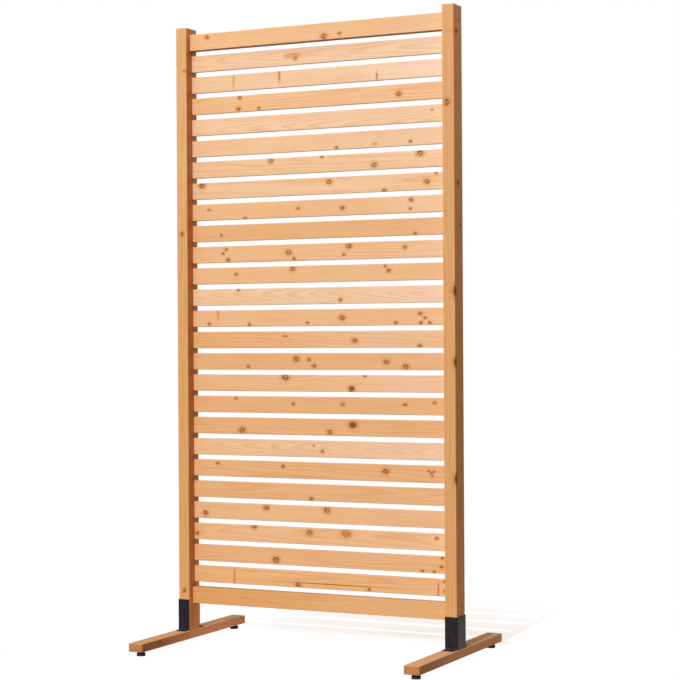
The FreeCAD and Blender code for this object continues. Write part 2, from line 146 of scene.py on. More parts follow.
class Graph:
    """The node tree of one material, or of the world."""

    def __init__(self, owner: bpy.types.Material | bpy.types.World) -> None:
        """Starts with nothing but a shader and its output.

        Args:
            owner: the material or the world whose nodes these are.
        """
        owner.use_nodes = True
        self.owner = owner
        self.tree = owner.node_tree
        self.shader = self.tree.nodes.get("Principled BSDF") or self.tree.nodes["Background"]

    @classmethod
    def of_material(cls, name: str) -> "Graph":
        """The graph of a new material."""
        return cls(bpy.data.materials.new(name))

    def node(
        self,
        kind: str,
        settings: dict[str, object] | None = None,
        inputs: dict[int | str, object] | None = None,
        output: int | str = 0,
    ) -> Value:
        """Adds a node.

        Args:
            kind: the node's type.
            settings: its properties, set before its sockets; stops gives a ramp its (place, colour) pairs.
            inputs: numbers, colours or other values for its sockets, by number or name.
            output: the socket that is wanted, by number or name.

        Returns:
            That output.
        """
        made = self.tree.nodes.new(kind)
        for name, setting in (settings or {}).items():
            if name == "stops":
                self._set_stops(made.color_ramp, setting)
            else:
                setattr(made, name, setting)
        for key, value in (inputs or {}).items():
            self.feed(made.inputs[key], value)
        return Value(self, made.outputs[output])

    def feed(self, socket: bpy.types.NodeSocket, value: object) -> None:
        """Links a value to a socket, or writes a number or colour there.

        Args:
            socket: where the value goes.
            value: another value, a number, a vector or a colour.
        """
        if isinstance(value, Value):
            self.tree.links.new(value.socket, socket)
        elif isinstance(value, tuple) and len(value) == 3 and socket.type == "RGBA":
            socket.default_value = (*value, 1.0)
        else:
            socket.default_value = value

    @staticmethod
    def _set_stops(ramp: bpy.types.ColorRamp, stops: Sequence[tuple[float, Colour]]) -> None:
        """Writes a ramp's stops, of which it has two to begin with.

        Args:
            ramp: the ramp of a Color Ramp node.
            stops: its (place, colour) pairs.
        """
        for place, _ in stops[2:]:
            ramp.elements.new(place)
        for element, (place, colour) in zip(ramp.elements, stops):
            element.position = place
            element.color = (*colour, 1.0)

    def vector(self, operation: str, *inputs: object, output: int | str = 0) -> Value:
        """A Vector Math node on these inputs."""
        settings = {"operation": operation}
        return self.node("ShaderNodeVectorMath", settings, dict(enumerate(inputs)), output)

    def scaled(self, vector: Value, amount: "Value | float") -> Value:
        """A vector made longer or shorter."""
        settings = {"operation": "SCALE"}
        return self.node("ShaderNodeVectorMath", settings, {"Vector": vector, "Scale": amount})

    def parts(self, vector: Value) -> tuple[Value, Value, Value]:
        """A vector's three numbers."""
        split = self.node("ShaderNodeSeparateXYZ", None, {"Vector": vector}).socket.node
        return tuple(Value(self, output) for output in split.outputs)

    def millimetres(self) -> Value:
        """The place on the piece, in millimetres."""
        return self.scaled(self.node("ShaderNodeTexCoord", output="Object"), 1 / MM)

    def mix(self, amount: object, first: object, second: object, mode: str = "MIX") -> Value:
        """Two colours mixed.

        Args:
            amount: how much of the second.
            first: the colour below.
            second: the colour above.
            mode: the Mix node's blend type.

        Returns:
            The mixed colour.
        """
        settings = {"data_type": "RGBA", "blend_type": mode}
        return self.node("ShaderNodeMix", settings, {0: amount, 6: first, 7: second}, 2)

    def noise(self, place: Value, grain: Sequence[float], detail: float = 2.0, seed: float = 0.0) -> Value:
        """Soft noise, centred on nought.

        Args:
            place: where it is read.
            grain: how long its blotches are along each axis.
            detail: how many finer layers it has.
            seed: moves it to another part of the pattern.

        Returns:
            A value that mostly lies between -0.5 and 0.5.
        """
        scaled = self.vector("MULTIPLY_ADD", place, tuple(1 / size for size in grain), (seed,) * 3)
        inputs = {"Vector": scaled, "Scale": 1.0, "Detail": detail, "Roughness": 0.55}
        return self.node("ShaderNodeTexNoise", {"noise_dimensions": "3D"}, inputs) - 0.5

    def tinted(self, body: Value, tint: object, amount: Value | float = 1.0) -> Value:
        """A colour multiplied by another, as far as the amount says."""
        return self.mix(amount, body, self.mix(1.0, body, tint, "MULTIPLY"))

    def ramp(self, amount: Value, stops: Sequence[tuple[float, Colour]]) -> Value:
        """A Color Ramp node with these stops."""
        return self.node("ShaderNodeValToRGB", {"stops": stops}, {0: amount})

    def relief(self, height: Value, depth: float, strength: float) -> Value:
        """A Bump node for the surface's relief."""
        inputs = {"Height": height, "Distance": depth, "Strength": strength}
        return self.node("ShaderNodeBump", None, inputs)

    def dress(self, **sockets: object) -> bpy.types.Material:
        """Sets the shader's sockets, named with underscores for spaces.

        Args:
            sockets: what goes into each.

        Returns:
            The material or the world.
        """
        for name, value in sockets.items():
            self.feed(self.shader.inputs[name.replace("_", " ")], value)
        return self.owner


# -------------------------------------------------- finishes


class Grain(Enum):
    """The way that a piece's fibres run, with the turn that lays them along the first axis."""

    ACROSS = (0.0, 0.0, 0.0)
    UPRIGHT = (0.0, QUARTER, 0.0)
    DEEP = (0.0, 0.0, -QUARTER)


class Tone(Enum):
    """The colour of the wood between its growth rings."""

    PALE = (0.865, 0.572, 0.355)
    PEACH = (0.85, 0.535, 0.31)
    HONEY = (0.835, 0.49, 0.255)
    AMBER = (0.80, 0.445, 0.21)
    GOLD = (0.715, 0.37, 0.142)
    RUSSET = (0.665, 0.365, 0.185)


class Heart(Enum):
    """How a knot looks at its middle: the least distance, in knot radii, that its colour goes by."""

    RINGED = 0.0
    DARK = 0.86
    BROWN = 1.0
    STAIN = 1.12
    FAINT = 1.45


class Facing(Enum):
    """Which way a knot runs or a side faces: how much it counts to be off a knot along, deep and high."""

    DEEP = (1.0, 0.0, 1.0)
    HIGH = (1.0, 1.0, 0.0)
    EDGE = (1.0, 0.8, 0.8)


@dataclass(frozen=True)
class Knot:
    """One knot, in millimetres.

    Attributes:
        along: from the middle of the piece, along its grain.
        up: from the middle of the piece, across its grain.
        width: along the grain.
        tall: across the grain; nought makes it a little less than the width.
        heart: how it looks at its middle; small knots show no ring.
        facing: which way it runs through the piece.
        deep: from the middle of the piece, to the rear.
    """

    along: float
    up: float
    width: float = 8.0
    tall: float = 0.0
    heart: Heart = Heart.RINGED
    facing: Facing = Facing.DEEP
    deep: float = 0.0

    def least(self) -> float:
        """The least distance, in knot radii, that its colour goes by."""
        ringless = self.heart is Heart.RINGED and self.width < RINGED_FROM
        return (Heart.BROWN if ringless else self.heart).value


@dataclass(frozen=True)
class Lumber:
    """One sawn piece of wood.

    Attributes:
        tone: its colour.
        knots: its knots.
        pith: how far the middle of the log lies behind the face and above the middle, in millimetres;
            where it isn't given, it is drawn from the piece's name.
        tilt: how much the log leans out of the board, millimetres in a millimetre.
        rings: the width of one year's growth.
        paler: how much paler the wood is at its far end, from 0 to 1.
        eye: where a bend in the log closes the rings to ovals, from the middle of the piece.
        low_side: the axis along which lies the low face that gets painted shade: a board's underside, the
            face towards +X on the posts and feet.
        oiled: the tint of that painted shade.
    """

    tone: Tone
    knots: tuple[Knot, ...] = ()
    pith: tuple[float, float] | None = None
    tilt: float | None = None
    rings: float | None = None
    paler: float = 0.15
    eye: float | None = None
    # Painted shade: the side given here is tinted by the colour below, a board's underside or the +X face
    # of a post or foot.
    low_side: Facing = Facing.HIGH
    oiled: Colour = (0.66, 0.53, 0.45)


@dataclass(frozen=True)
class Pattern:
    """Soft noise in the wood, in millimetres.

    Attributes:
        length: how long its blotches are along the grain.
        depth: how long they are to the rear.
        height: how long they are upwards.
        shift: what is added to the piece's seed.
        detail: how many finer layers it has.
    """

    length: float
    depth: float
    height: float
    shift: float
    detail: float = 2.0

    def at(self, graph: Graph, place: Value, seed: float) -> Value:
        """The noise at a place."""
        return graph.noise(place, (self.length, self.depth, self.height), self.detail, seed + self.shift)


@dataclass(frozen=True)
class OiledLarch:
    """Planed softwood under a thin satin oil.

    Attributes:
        late_wood, early_wood: the two parts of a growth ring.
        pink_streak, straw_streak, dark_streak: long streaks.
        golden_patch: wide patches.
        knot_glow: the wood round the knots.
        pale_end, rich_end: where the colour drifts to, along the piece.
        end_tint, end_rings: the sawn ends between the rings and in them.
        knot_stops: a knot's colours from its middle outwards.
        knot_reach: how far those go, in knot radii.
        swirl_along, swirl_across: how far the grain bends round a knot, in knot radii.
        swirl: how much it bends.
        knot_height: a knot's height beside its width, where it isn't given.
        ragged, glow_ragged: how far the outlines of a knot and of its glow waver.
        glow_fade: from where to where the glow fades, as a share of the swirl's reach.
        pith_deep, pith_high: what the place of the middle of the log is drawn from.
        tilts, widths: what the log's lean and the width of its rings are drawn from.
        wander: how far the grain wanders sideways and upwards, in millimetres.
        uneven: how far the rings waver, in years.
        darkening, ending: where in a year the late wood grows and ends.
        strengths: from which to which noise the late wood is how strong.
        drift_length, drift_start, drift_noise: how the colour drifts along the piece.
        skin: from where to where the painted side shade and the end grain's colour grow full, in
            millimetres from the face.
        eye_length, eye_rise: half the length and the height of the bend that closes the rings to ovals.
        streaks, lines, fibres, patches: where the colours vary.
        sideways, upwards: how the grain wanders.
        wobble: how uneven the rings are.
        strong: where the rings are strong.
        slow: how the colour drifts.
        outline: how uneven the knots' outlines are.
        roughness: how dull the oil is.
        shine: how much it mirrors.
        relief: how deep the grain is, in metres.
    """

    late_wood: Colour = (0.925, 0.85, 0.76)
    early_wood: Colour = (1.02, 1.03, 1.05)
    pink_streak: Colour = (1.0, 0.925, 0.96)
    straw_streak: Colour = (0.985, 1.0, 0.86)
    dark_streak: Colour = (0.92, 0.82, 0.70)
    golden_patch: Colour = (0.975, 0.92, 0.80)
    knot_glow: Colour = (0.97, 0.88, 0.74)
    pale_end: Colour = (1.05, 1.14, 1.36)
    rich_end: Colour = (0.99, 0.95, 0.88)
    end_tint: Colour = (0.90, 0.70, 0.50)
    end_rings: Colour = (0.50, 0.37, 0.26)
    knot_stops: tuple[tuple[float, Colour], ...] = (
        (0.00, (0.80, 0.63, 0.48)),
        (0.15, (0.84, 0.67, 0.51)),
        (0.23, (0.35, 0.19, 0.13)),
        (0.29, (0.36, 0.195, 0.13)),
        (0.41, (0.80, 0.66, 0.51)),
        (0.60, (0.93, 0.85, 0.74)),
        (1.00, (1.0, 1.0, 1.0)),
    )
    knot_reach: float = 3.0
    swirl_along: float = 2.8
    swirl_across: float = 2.0
    swirl: float = 0.8
    knot_height: float = 0.82
    ragged: float = 1.7
    glow_ragged: float = 0.5
    glow_fade: tuple[float, float] = (0.2, 1.0)
    pith_deep: tuple[float, float] = (50.0, 110.0)
    pith_high: tuple[float, float] = (-90.0, 90.0)
    tilts: tuple[float, float] = (-0.012, 0.012)
    widths: tuple[float, float] = (1.8, 3.2)
    wander: tuple[float, float] = (7.0, 9.0)
    uneven: float = 0.35
    darkening: tuple[float, float] = (0.30, 0.86)
    ending: tuple[float, float] = (0.90, 1.0)
    strengths: tuple[float, float, float, float] = (-0.35, 0.35, 0.3, 1.0)
    drift_length: float = 300.0
    drift_start: float = 0.35
    drift_noise: float = 1.1
    skin: tuple[float, float] = (-0.7, -0.1)
    eye_length: float = 34.0
    eye_rise: float = 5.5
    streaks: Pattern = Pattern(300, 11, 11, 5)
    lines: Pattern = Pattern(260, 3, 3, 11)
    fibres: Pattern = Pattern(70, 0.55, 0.55, 17)
    patches: Pattern = Pattern(130, 40, 15, 53)
    sideways: Pattern = Pattern(330, 60, 45, 23, 1)
    upwards: Pattern = Pattern(280, 50, 40, 29, 1)
    wobble: Pattern = Pattern(160, 9, 9, 31, 1)
    strong: Pattern = Pattern(190, 22, 22, 37, 1)
    slow: Pattern = Pattern(240, 400, 60, 41, 1)
    outline: Pattern = Pattern(7, 5, 5, 0, 3)
    roughness: float = 0.55
    shine: float = 0.22
    relief: float = 0.0003

    def material(self, node: str, lumber: Lumber, grain: Grain) -> bpy.types.Material:
        """The material of one piece.

        Args:
            node: the piece's CAD node, whose name also seeds what isn't given.
            lumber: the piece of wood.
            grain: the way its fibres run.

        Returns:
            The material.
        """
        low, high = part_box(node)
        middle = (low + high) / 2
        dice = random.Random(node)
        graph = Graph.of_material(f"larch_{node}")
        turn = Matrix.Rotation(grain.value[1], 3, "Y") @ Matrix.Rotation(grain.value[2], 3, "Z")
        shift = -(turn @ middle) / MM
        size = turn @ (high - low) / MM
        metres = graph.node("ShaderNodeTexCoord", output="Object")
        inputs = {"Vector": metres, "Location": shift, "Rotation": grain.value, "Scale": (1 / MM,) * 3}
        place = graph.node("ShaderNodeMapping", {"vector_type": "POINT"}, inputs)
        seed = dice.uniform(0, 90)

        bent = place
        knotted = glow = None
        if lumber.knots:
            knotted, glow, bent = self._knots(graph, place, lumber.knots, seed)
        late, along = self._rings(graph, place, bent, lumber, dice, seed)
        streak = self.streaks.at(graph, along, seed)
        line = self.lines.at(graph, along, seed)
        fibre = self.fibres.at(graph, along, seed)
        patch = self.patches.at(graph, along, seed)
        drift = self._drift(graph, place, lumber, seed)

        body = graph.mix(late, self.early_wood, self.late_wood)
        shades = [
            (lumber.tone.value, 1.0),
            (self.pink_streak, streak.eased(0.0, 0.22)),
            (self.straw_streak, streak.eased(-0.22, 0.0, 1.0, 0.0)),
            (self.dark_streak, line.eased(0.04, 0.42)),
            (self.golden_patch, patch.eased(0.0, 0.35)),
            (self.pale_end, drift.eased(0.0, 1.0)),
            (self.rich_end, drift.eased(-1.0, 0.0, 1.0, 0.0)),
            (self.dark_streak, fibre.eased(0.0, 0.45, 0.0, 0.5)),
        ]
        height = 0.5 * late + 0.8 * fibre
        if lumber.knots:
            shades.append((self.knot_glow, glow))
            shades.append((graph.ramp(knotted / self.knot_reach, self.knot_stops), 1.0))
            height = height - 0.6 * knotted.eased(0.6, 1.3, 1.0, 0.0)
        for shade, amount in shades:
            body = graph.tinted(body, shade, amount)
        body = self._oiled(graph, body, place, late, lumber, size)
        return graph.dress(
            Base_Color=body,
            Roughness=self.roughness + 0.12 * streak - 0.06 * late,
            Specular_IOR_Level=self.shine,
            Normal=graph.relief(height, self.relief, 0.5),
        )

    def _knots(
        self, graph: Graph, place: Value, knots: Iterable[Knot], seed: float
    ) -> tuple[Value, Value, Value]:
        """The knots' part in the colour, and the grain bent round them.

        Args:
            graph: the material's graph.
            place: where on the piece, in millimetres.
            knots: the knots, at least one.
            seed: moves the noise that makes their outlines uneven.

        Returns:
            The distance from the nearest knot in knot radii, how much of the glow round the knots there is,
            and the place with its grain bent.
        """
        jitter = self.outline.at(graph, place, seed)
        nearest: Value | float = self.knot_reach
        closest: Value | float = 1.0
        bent = place
        for knot in knots:
            tall = knot.tall or self.knot_height * knot.width
            radii = (knot.width / 2, tall / 2, tall / 2)
            offset = graph.vector("SUBTRACT", place, (knot.along, knot.deep, knot.up))
            scale = tuple(side / radius for side, radius in zip(knot.facing.value, radii))
            away = graph.vector("LENGTH", graph.vector("MULTIPLY", offset, scale), output="Value")
            nearest = (away + self.ragged * jitter).at_least(knot.least()).at_most(nearest)
            reach = (self.swirl_along, self.swirl_across, self.swirl_across)
            wide = tuple(value / far for value, far in zip(scale, reach))
            near = graph.vector("LENGTH", graph.vector("MULTIPLY", offset, wide), output="Value")
            closest = near.at_most(closest)
            push = near.eased(0.0, 1.0, -self.swirl, 0.0)
            aside = graph.vector("MULTIPLY", offset, (0.0, *knot.facing.value[1:]))
            bent = graph.vector("ADD", bent, graph.scaled(aside, push))
        glow = (closest + self.glow_ragged * jitter).eased(*self.glow_fade, 1.0, 0.0)
        return nearest, glow, bent

    def _rings(
        self, graph: Graph, place: Value, bent: Value, lumber: Lumber, dice: random.Random, seed: float
    ) -> tuple[Value, Value]:
        """Growth rings round the middle of the log.

        Args:
            graph: the material's graph.
            place: where on the piece, in millimetres.
            bent: the same place with the grain bent round the knots.
            lumber: the piece of wood.
            dice: draws what the lumber doesn't give.
            seed: moves the noise.

        Returns:
            How much late wood there is, and the bent place with its slow wander.
        """
        deep, high = lumber.pith or (
            dice.uniform(*self.pith_deep) * dice.choice((-1, 1)),
            dice.uniform(*self.pith_high),
        )
        tilt = lumber.tilt if lumber.tilt is not None else dice.uniform(*self.tilts)
        width = lumber.rings or dice.uniform(*self.widths)
        aside = self.wander[0] * self.sideways.at(graph, place, seed)
        upward = self.wander[1] * self.upwards.at(graph, place, seed)
        wander = graph.node("ShaderNodeCombineXYZ", None, {1: aside, 2: upward})
        along = graph.vector("ADD", bent, wander)
        x, y, z = graph.parts(along)
        lean = tilt * x
        if lumber.eye is not None:
            lean = lean + self.eye_rise / (1.0 + ((x - lumber.eye) / self.eye_length) ** 2.0)
        from_pith = ((y - deep + lean) ** 2.0 + (z - high + 0.4 * lean) ** 2.0) ** 0.5
        year = (from_pith / width + self.uneven * self.wobble.at(graph, along, seed)).cycle()
        strength = self.strong.at(graph, along, seed).eased(*self.strengths)
        late = year.eased(*self.darkening) * year.eased(*self.ending, 1.0, 0.0) * strength
        return late, along

    def _drift(self, graph: Graph, place: Value, lumber: Lumber, seed: float) -> Value:
        """How far the wood's colour drifts along the piece: over nought paler, under it richer.

        Args:
            graph: the material's graph.
            place: where on the piece, in millimetres.
            lumber: the piece of wood.
            seed: moves the noise.

        Returns:
            The drift, mostly between -1 and 1.
        """
        along, _, _ = graph.parts(place)
        slope = lumber.paler * (along / self.drift_length + self.drift_start)
        return slope + self.drift_noise * self.slow.at(graph, place, seed)

    def _oiled(
        self, graph: Graph, body: Value, place: Value, late: Value, lumber: Lumber, size: Vector
    ) -> Value:
        """Tints one side with painted shade, and deepens the colour of the sawn ends, which show the rings
        as arcs.

        Args:
            graph: the material's graph.
            body: the colour so far.
            place: where on the piece, in millimetres.
            late: how much late wood there is.
            lumber: the piece of wood.
            size: the piece's size along, deep and high, in millimetres; the signs don't matter.

        Returns:
            The colour.
        """
        along, deep, high = graph.parts(place)
        up, extent = (high, size.z) if lumber.low_side is Facing.HIGH else (deep, size.y)
        arcs = graph.mix(late, self.end_tint, self.end_rings)
        # The first tint is painted shade on one side of the piece; the second is the darker end grain of
        # the sawn ends.
        for out, reach, tint in ((-1.0 * up, extent, lumber.oiled), (along.size(), size.x, arcs)):
            body = graph.tinted(body, tint, (out - abs(reach) / 2).eased(*self.skin))
        return body


@dataclass(frozen=True)
class PowderCoat:
    """Black powder coat with a faint orange peel."""

    colour: Colour = (0.009, 0.0076, 0.0125)
    rubbed: Colour = (0.020, 0.018, 0.024)
    roughness: float = 0.36
    shine: float = 0.32

    def material(self, name: str) -> bpy.types.Material:
        """The material under this name.

        Args:
            name: the material's name.

        Returns:
            The material.
        """
        graph = Graph.of_material(name)
        place = graph.millimetres()
        peel = graph.noise(place, (1.3, 1.3, 1.3), 2)
        cloud = graph.noise(place, (22, 22, 22), 2, 3)
        return graph.dress(
            Base_Color=graph.mix(cloud.eased(0.0, 0.4), self.colour, self.rubbed),
            Roughness=self.roughness + 0.16 * cloud,
            Specular_IOR_Level=self.shine,
            Normal=graph.relief(peel, 0.00025, 0.35),
        )


@dataclass(frozen=True)
class Metal:
    """Plated steel, brushed round or blackened."""

    colour: Colour
    tarnish: Colour
    roughness: float
    metallic: float = 1.0

    def material(self, name: str) -> bpy.types.Material:
        """The material under this name.

        Args:
            name: the material's name.

        Returns:
            The material.
        """
        graph = Graph.of_material(name)
        place = graph.millimetres()
        cloud = graph.noise(place, (3, 3, 3), 3)
        scratch = graph.noise(place, (0.25, 0.25, 0.25), 2, 7)
        body = graph.mix(cloud.eased(-0.1, 0.35), self.colour, self.tarnish)
        roughness = self.roughness + 0.25 * cloud + 0.1 * scratch
        normal = graph.relief(scratch, 0.00005, 0.3)
        return graph.dress(Base_Color=body, Roughness=roughness, Metallic=self.metallic, Normal=normal)


@dataclass(frozen=True)
class MouldedPlastic:
    """Black polyethylene with a fine moulded grain."""

    colour: Colour = (0.014, 0.014, 0.015)
    dust: Colour = (0.035, 0.034, 0.034)
    roughness: float = 0.55

    def material(self, name: str) -> bpy.types.Material:
        """The material under this name.

        Args:
            name: the material's name.

        Returns:
            The material.
        """
        graph = Graph.of_material(name)
        place = graph.millimetres()
        leather = graph.noise(place, (0.7, 0.7, 0.7), 1)
        cloud = graph.noise(place, (9, 9, 9), 2, 5)
        body = graph.mix(cloud.eased(0.0, 0.4), self.colour, self.dust)
        roughness = self.roughness + 0.15 * cloud
        return graph.dress(Base_Color=body, Roughness=roughness, Normal=graph.relief(leather, 0.0001, 0.4))


BLACK_STEEL = PowderCoat()
BLACK_SCREW = Metal((0.020, 0.019, 0.020), (0.045, 0.042, 0.041), 0.30, 0.6)
BRONZED_SCREW = Metal((0.020, 0.012, 0.009), (0.045, 0.027, 0.018), 0.45, 0.4)
ZINC_STEEL = Metal((0.55, 0.56, 0.57), (0.36, 0.36, 0.35), 0.32)
BLACK_PLASTIC = MouldedPlastic()
LARCH = OiledLarch()


# -------------------------------------------------- meshes


class Shape:
    """A mesh in the making, in metres."""

    def __init__(self) -> None:
        """Starts with nothing."""
        self.bm = bmesh.new()

    def block(self, low: Sequence[float], high: Sequence[float]) -> list[bmesh.types.BMVert]:
        """Adds a box between two corners.

        Args:
            low: the least corner.
            high: the greatest corner.

        Returns:
            Its vertices.
        """
        low, high = Vector(low), Vector(high)
        verts = bmesh.ops.create_cube(self.bm, size=1.0)["verts"]
        bmesh.ops.scale(self.bm, verts=verts, vec=high - low)
        bmesh.ops.translate(self.bm, verts=verts, vec=(high + low) / 2)
        return verts

    def ease(
        self, items: Iterable[object], radius: float, segments: int = 3, affect: str = "EDGES"
    ) -> None:
        """Rounds edges over, or corners where affect is VERTICES.

        Args:
            items: the edges or corners.
            radius: how far the rounding reaches.
            segments: how many flats it has.
            affect: EDGES or VERTICES.
        """
        bmesh.ops.bevel(
            self.bm,
            geom=list(items),
            offset=radius,
            offset_type="OFFSET",
            segments=segments,
            profile=0.5,
            affect=affect,
            material=-1,
            clamp_overlap=True,
        )

    def spin(
        self,
        items: Iterable[object],
        angle: float,
        steps: int,
        centre: Sequence[float] = (0, 0, 0),
        axis: Sequence[float] = (0, 0, 1),
        **others: object,
    ) -> list[object]:
        """Sweeps items round an axis.

        Args:
            items: vertices, edges or faces.
            angle: how far.
            steps: in how many steps.
            centre: a point on the axis.
            axis: its direction.
            others: the operator's other settings.

        Returns:
            The items at the far end.
        """
        items = list(items)
        swept = bmesh.ops.spin(
            self.bm, geom=items, cent=centre, axis=axis, angle=angle, steps=steps, **others
        )
        return swept["geom_last"]

    def ease_sharp(self, radius: float, segments: int = 2, angle: float = 0.9) -> None:
        """Rounds every edge whose faces meet at more than the angle."""
        self.ease([e for e in self.bm.edges if e.calc_face_angle(0.0) > angle], radius, segments)

    def turned(self, profile: Sequence[tuple[float, float]], steps: int, soft: float = 0.0) -> None:
        """Adds a form turned about the upright axis.

        Args:
            profile: (radius, height) corners in millimetres, from one end of the axis to the other.
            steps: how many sides it has.
            soft: the radius in millimetres that rounds the profile's corners off the axis.
        """
        verts = [self.bm.verts.new((radius * MM, 0, height * MM)) for radius, height in profile]
        edges = [self.bm.edges.new(pair) for pair in zip(verts, verts[1:])]
        if profile[0][0] > 0:
            edges.append(self.bm.edges.new((verts[-1], verts[0])))
        if soft:
            corners = [vert for vert in verts if vert.co.x > soft * MM]
            self.ease(corners, soft * MM, affect="VERTICES")
            verts = [vert for vert in self.bm.verts if vert.is_wire]
            edges = [edge for edge in self.bm.edges if edge.is_wire]
        self.spin(verts + edges, FULL_TURN, steps, use_merge=True)
        bmesh.ops.remove_doubles(self.bm, verts=self.bm.verts, dist=1e-6)

    def move(self, matrix: Matrix, verts: Iterable[bmesh.types.BMVert] | None = None) -> None:
        """Turns and moves the vertices, or all there are."""
        chosen = list(self.bm.verts if verts is None else verts)
        bmesh.ops.transform(self.bm, matrix=matrix, verts=chosen)

    def mesh(self, name: str) -> bpy.types.Mesh:
        """Ends the making: a mesh with its faces outwards and its curves smooth.

        Args:
            name: the mesh's name.

        Returns:
            The mesh.
        """
        bmesh.ops.recalc_face_normals(self.bm, faces=self.bm.faces)
        made = bpy.data.meshes.new(name)
        self.bm.to_mesh(made)
        self.bm.free()
        return made


def repeated(single: bpy.types.Mesh, places: Iterable[Matrix], name: str) -> bpy.types.Mesh:
    """Puts the same form at several places.

    Args:
        single: the form; it is used up.
        places: where it goes.
        name: the new mesh's name.

    Returns:
        One mesh of them all.
    """
    every = Shape()
    for place in places:
        before = len(every.bm.verts)
        every.bm.from_mesh(single)
        every.bm.verts.ensure_lookup_table()
        every.move(place, every.bm.verts[before:])
    bpy.data.meshes.remove(single)
    return every.mesh(name)


def placed(name: str, data: bpy.types.ID) -> bpy.types.Object:
    """A new object in the scene, at the origin.

    Args:
        name: its name.
        data: what it shows.

    Returns:
        The object.
    """
    made = bpy.data.objects.new(name, data)
    bpy.context.scene.collection.objects.link(made)
    return made


def smooth(mesh: bpy.types.Mesh, angle: float = 0.7) -> bpy.types.Mesh:
    """Shades a mesh smooth but for edges sharper than the angle.

    Args:
        mesh: what is shaded.
        angle: the angle between faces, in radians.

    Returns:
        The same mesh.
    """
    mesh.polygons.foreach_set("use_smooth", [True] * len(mesh.polygons))
    mesh.set_sharp_from_angle(angle=angle)
    return mesh


def cut(mesh: bpy.types.Mesh, tool: bpy.types.Mesh) -> bpy.types.Mesh:
    """Takes one closed form out of another.

    Args:
        mesh: what is cut; it is used up.
        tool: what is taken away; it is used up.

    Returns:
        The cut mesh.
    """
    work, cutter = (placed(form.name, form) for form in (mesh, tool))
    change = work.modifiers.new("cut", "BOOLEAN")
    change.operation = "DIFFERENCE"
    change.solver = "EXACT"
    change.object = cutter
    graph = bpy.context.evaluated_depsgraph_get()
    result = bpy.data.meshes.new_from_object(work.evaluated_get(graph))
    for item in (work, cutter):
        bpy.data.objects.remove(item)
    for used in (mesh, tool):
        bpy.data.meshes.remove(used)
    return result


def finished(
    node: str, mesh: bpy.types.Mesh, material: bpy.types.Material, body: str = "screen"
) -> bpy.types.Object:
    """Puts a finished piece in the scene in place of its CAD node.

    Args:
        node: the CAD node that it stands for.
        mesh: its mesh, in place.
        material: its finish.
        body: the body that it rides on.

    Returns:
        The piece.
    """
    piece = placed(f"{node}_finished", smooth(mesh))
    mesh.name = piece.name
    mesh.materials.clear()
    mesh.materials.append(material)
    weighting = piece.modifiers.new("weighting", "WEIGHTED_NORMAL")
    weighting.keep_sharp = True
    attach(piece, body)
    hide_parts(node)
    LOG.info("%s: %d faces on %s", piece.name, len(mesh.polygons), body)
    return piece


def middle_of(node: str) -> Vector:
    """The middle of a node's box."""
    low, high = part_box(node)
    return (low + high) / 2


def upright_at(node: str, height: float) -> Matrix:
    """The place at this height, in metres, on the upright line through a node's middle."""
    spot = middle_of(node)
    return Matrix.Translation((spot.x, spot.y, height))


class Side(Enum):
    """The two halves of the screen, with the way that each faces."""

    left = -1
    right = 1


class End(Enum):
    """The two ends of a foot, with the way that each faces."""

    front = -1
    rear = 1


# -------------------------------------------------- boards


@dataclass
class Panel:
    """The ladder of boards between the posts: two rails and the slats.

    Attributes:
        slat_edge: the rounding of a slat's edges, in metres.
        rail_edge: the rounding of a rail's edges, in metres.
        lumber: the wood of each board, by node.
    """

    slat_edge: float = 2.0 * MM
    rail_edge: float = 1.6 * MM
    lumber: dict[str, Lumber] = field(default_factory=dict)

    def build(self) -> None:
        """Makes every board."""
        for node, wood in self.lumber.items():
            self.board(node, wood)

    def board(self, node: str, wood: Lumber) -> bpy.types.Object:
        """Makes one board.

        Args:
            node: its CAD node.
            wood: the wood it is sawn from.

        Returns:
            The board.
        """
        is_rail = node.startswith("rail")
        shape = Shape()
        shape.block(*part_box(node))
        long_edges = [e for e in shape.bm.edges if abs(e.verts[0].co.x - e.verts[1].co.x) > MM]
        shape.ease(long_edges, self.rail_edge if is_rail else self.slat_edge)
        material = LARCH.material(node, wood, Grain.ACROSS)
        return finished(node, shape.mesh(node), material)


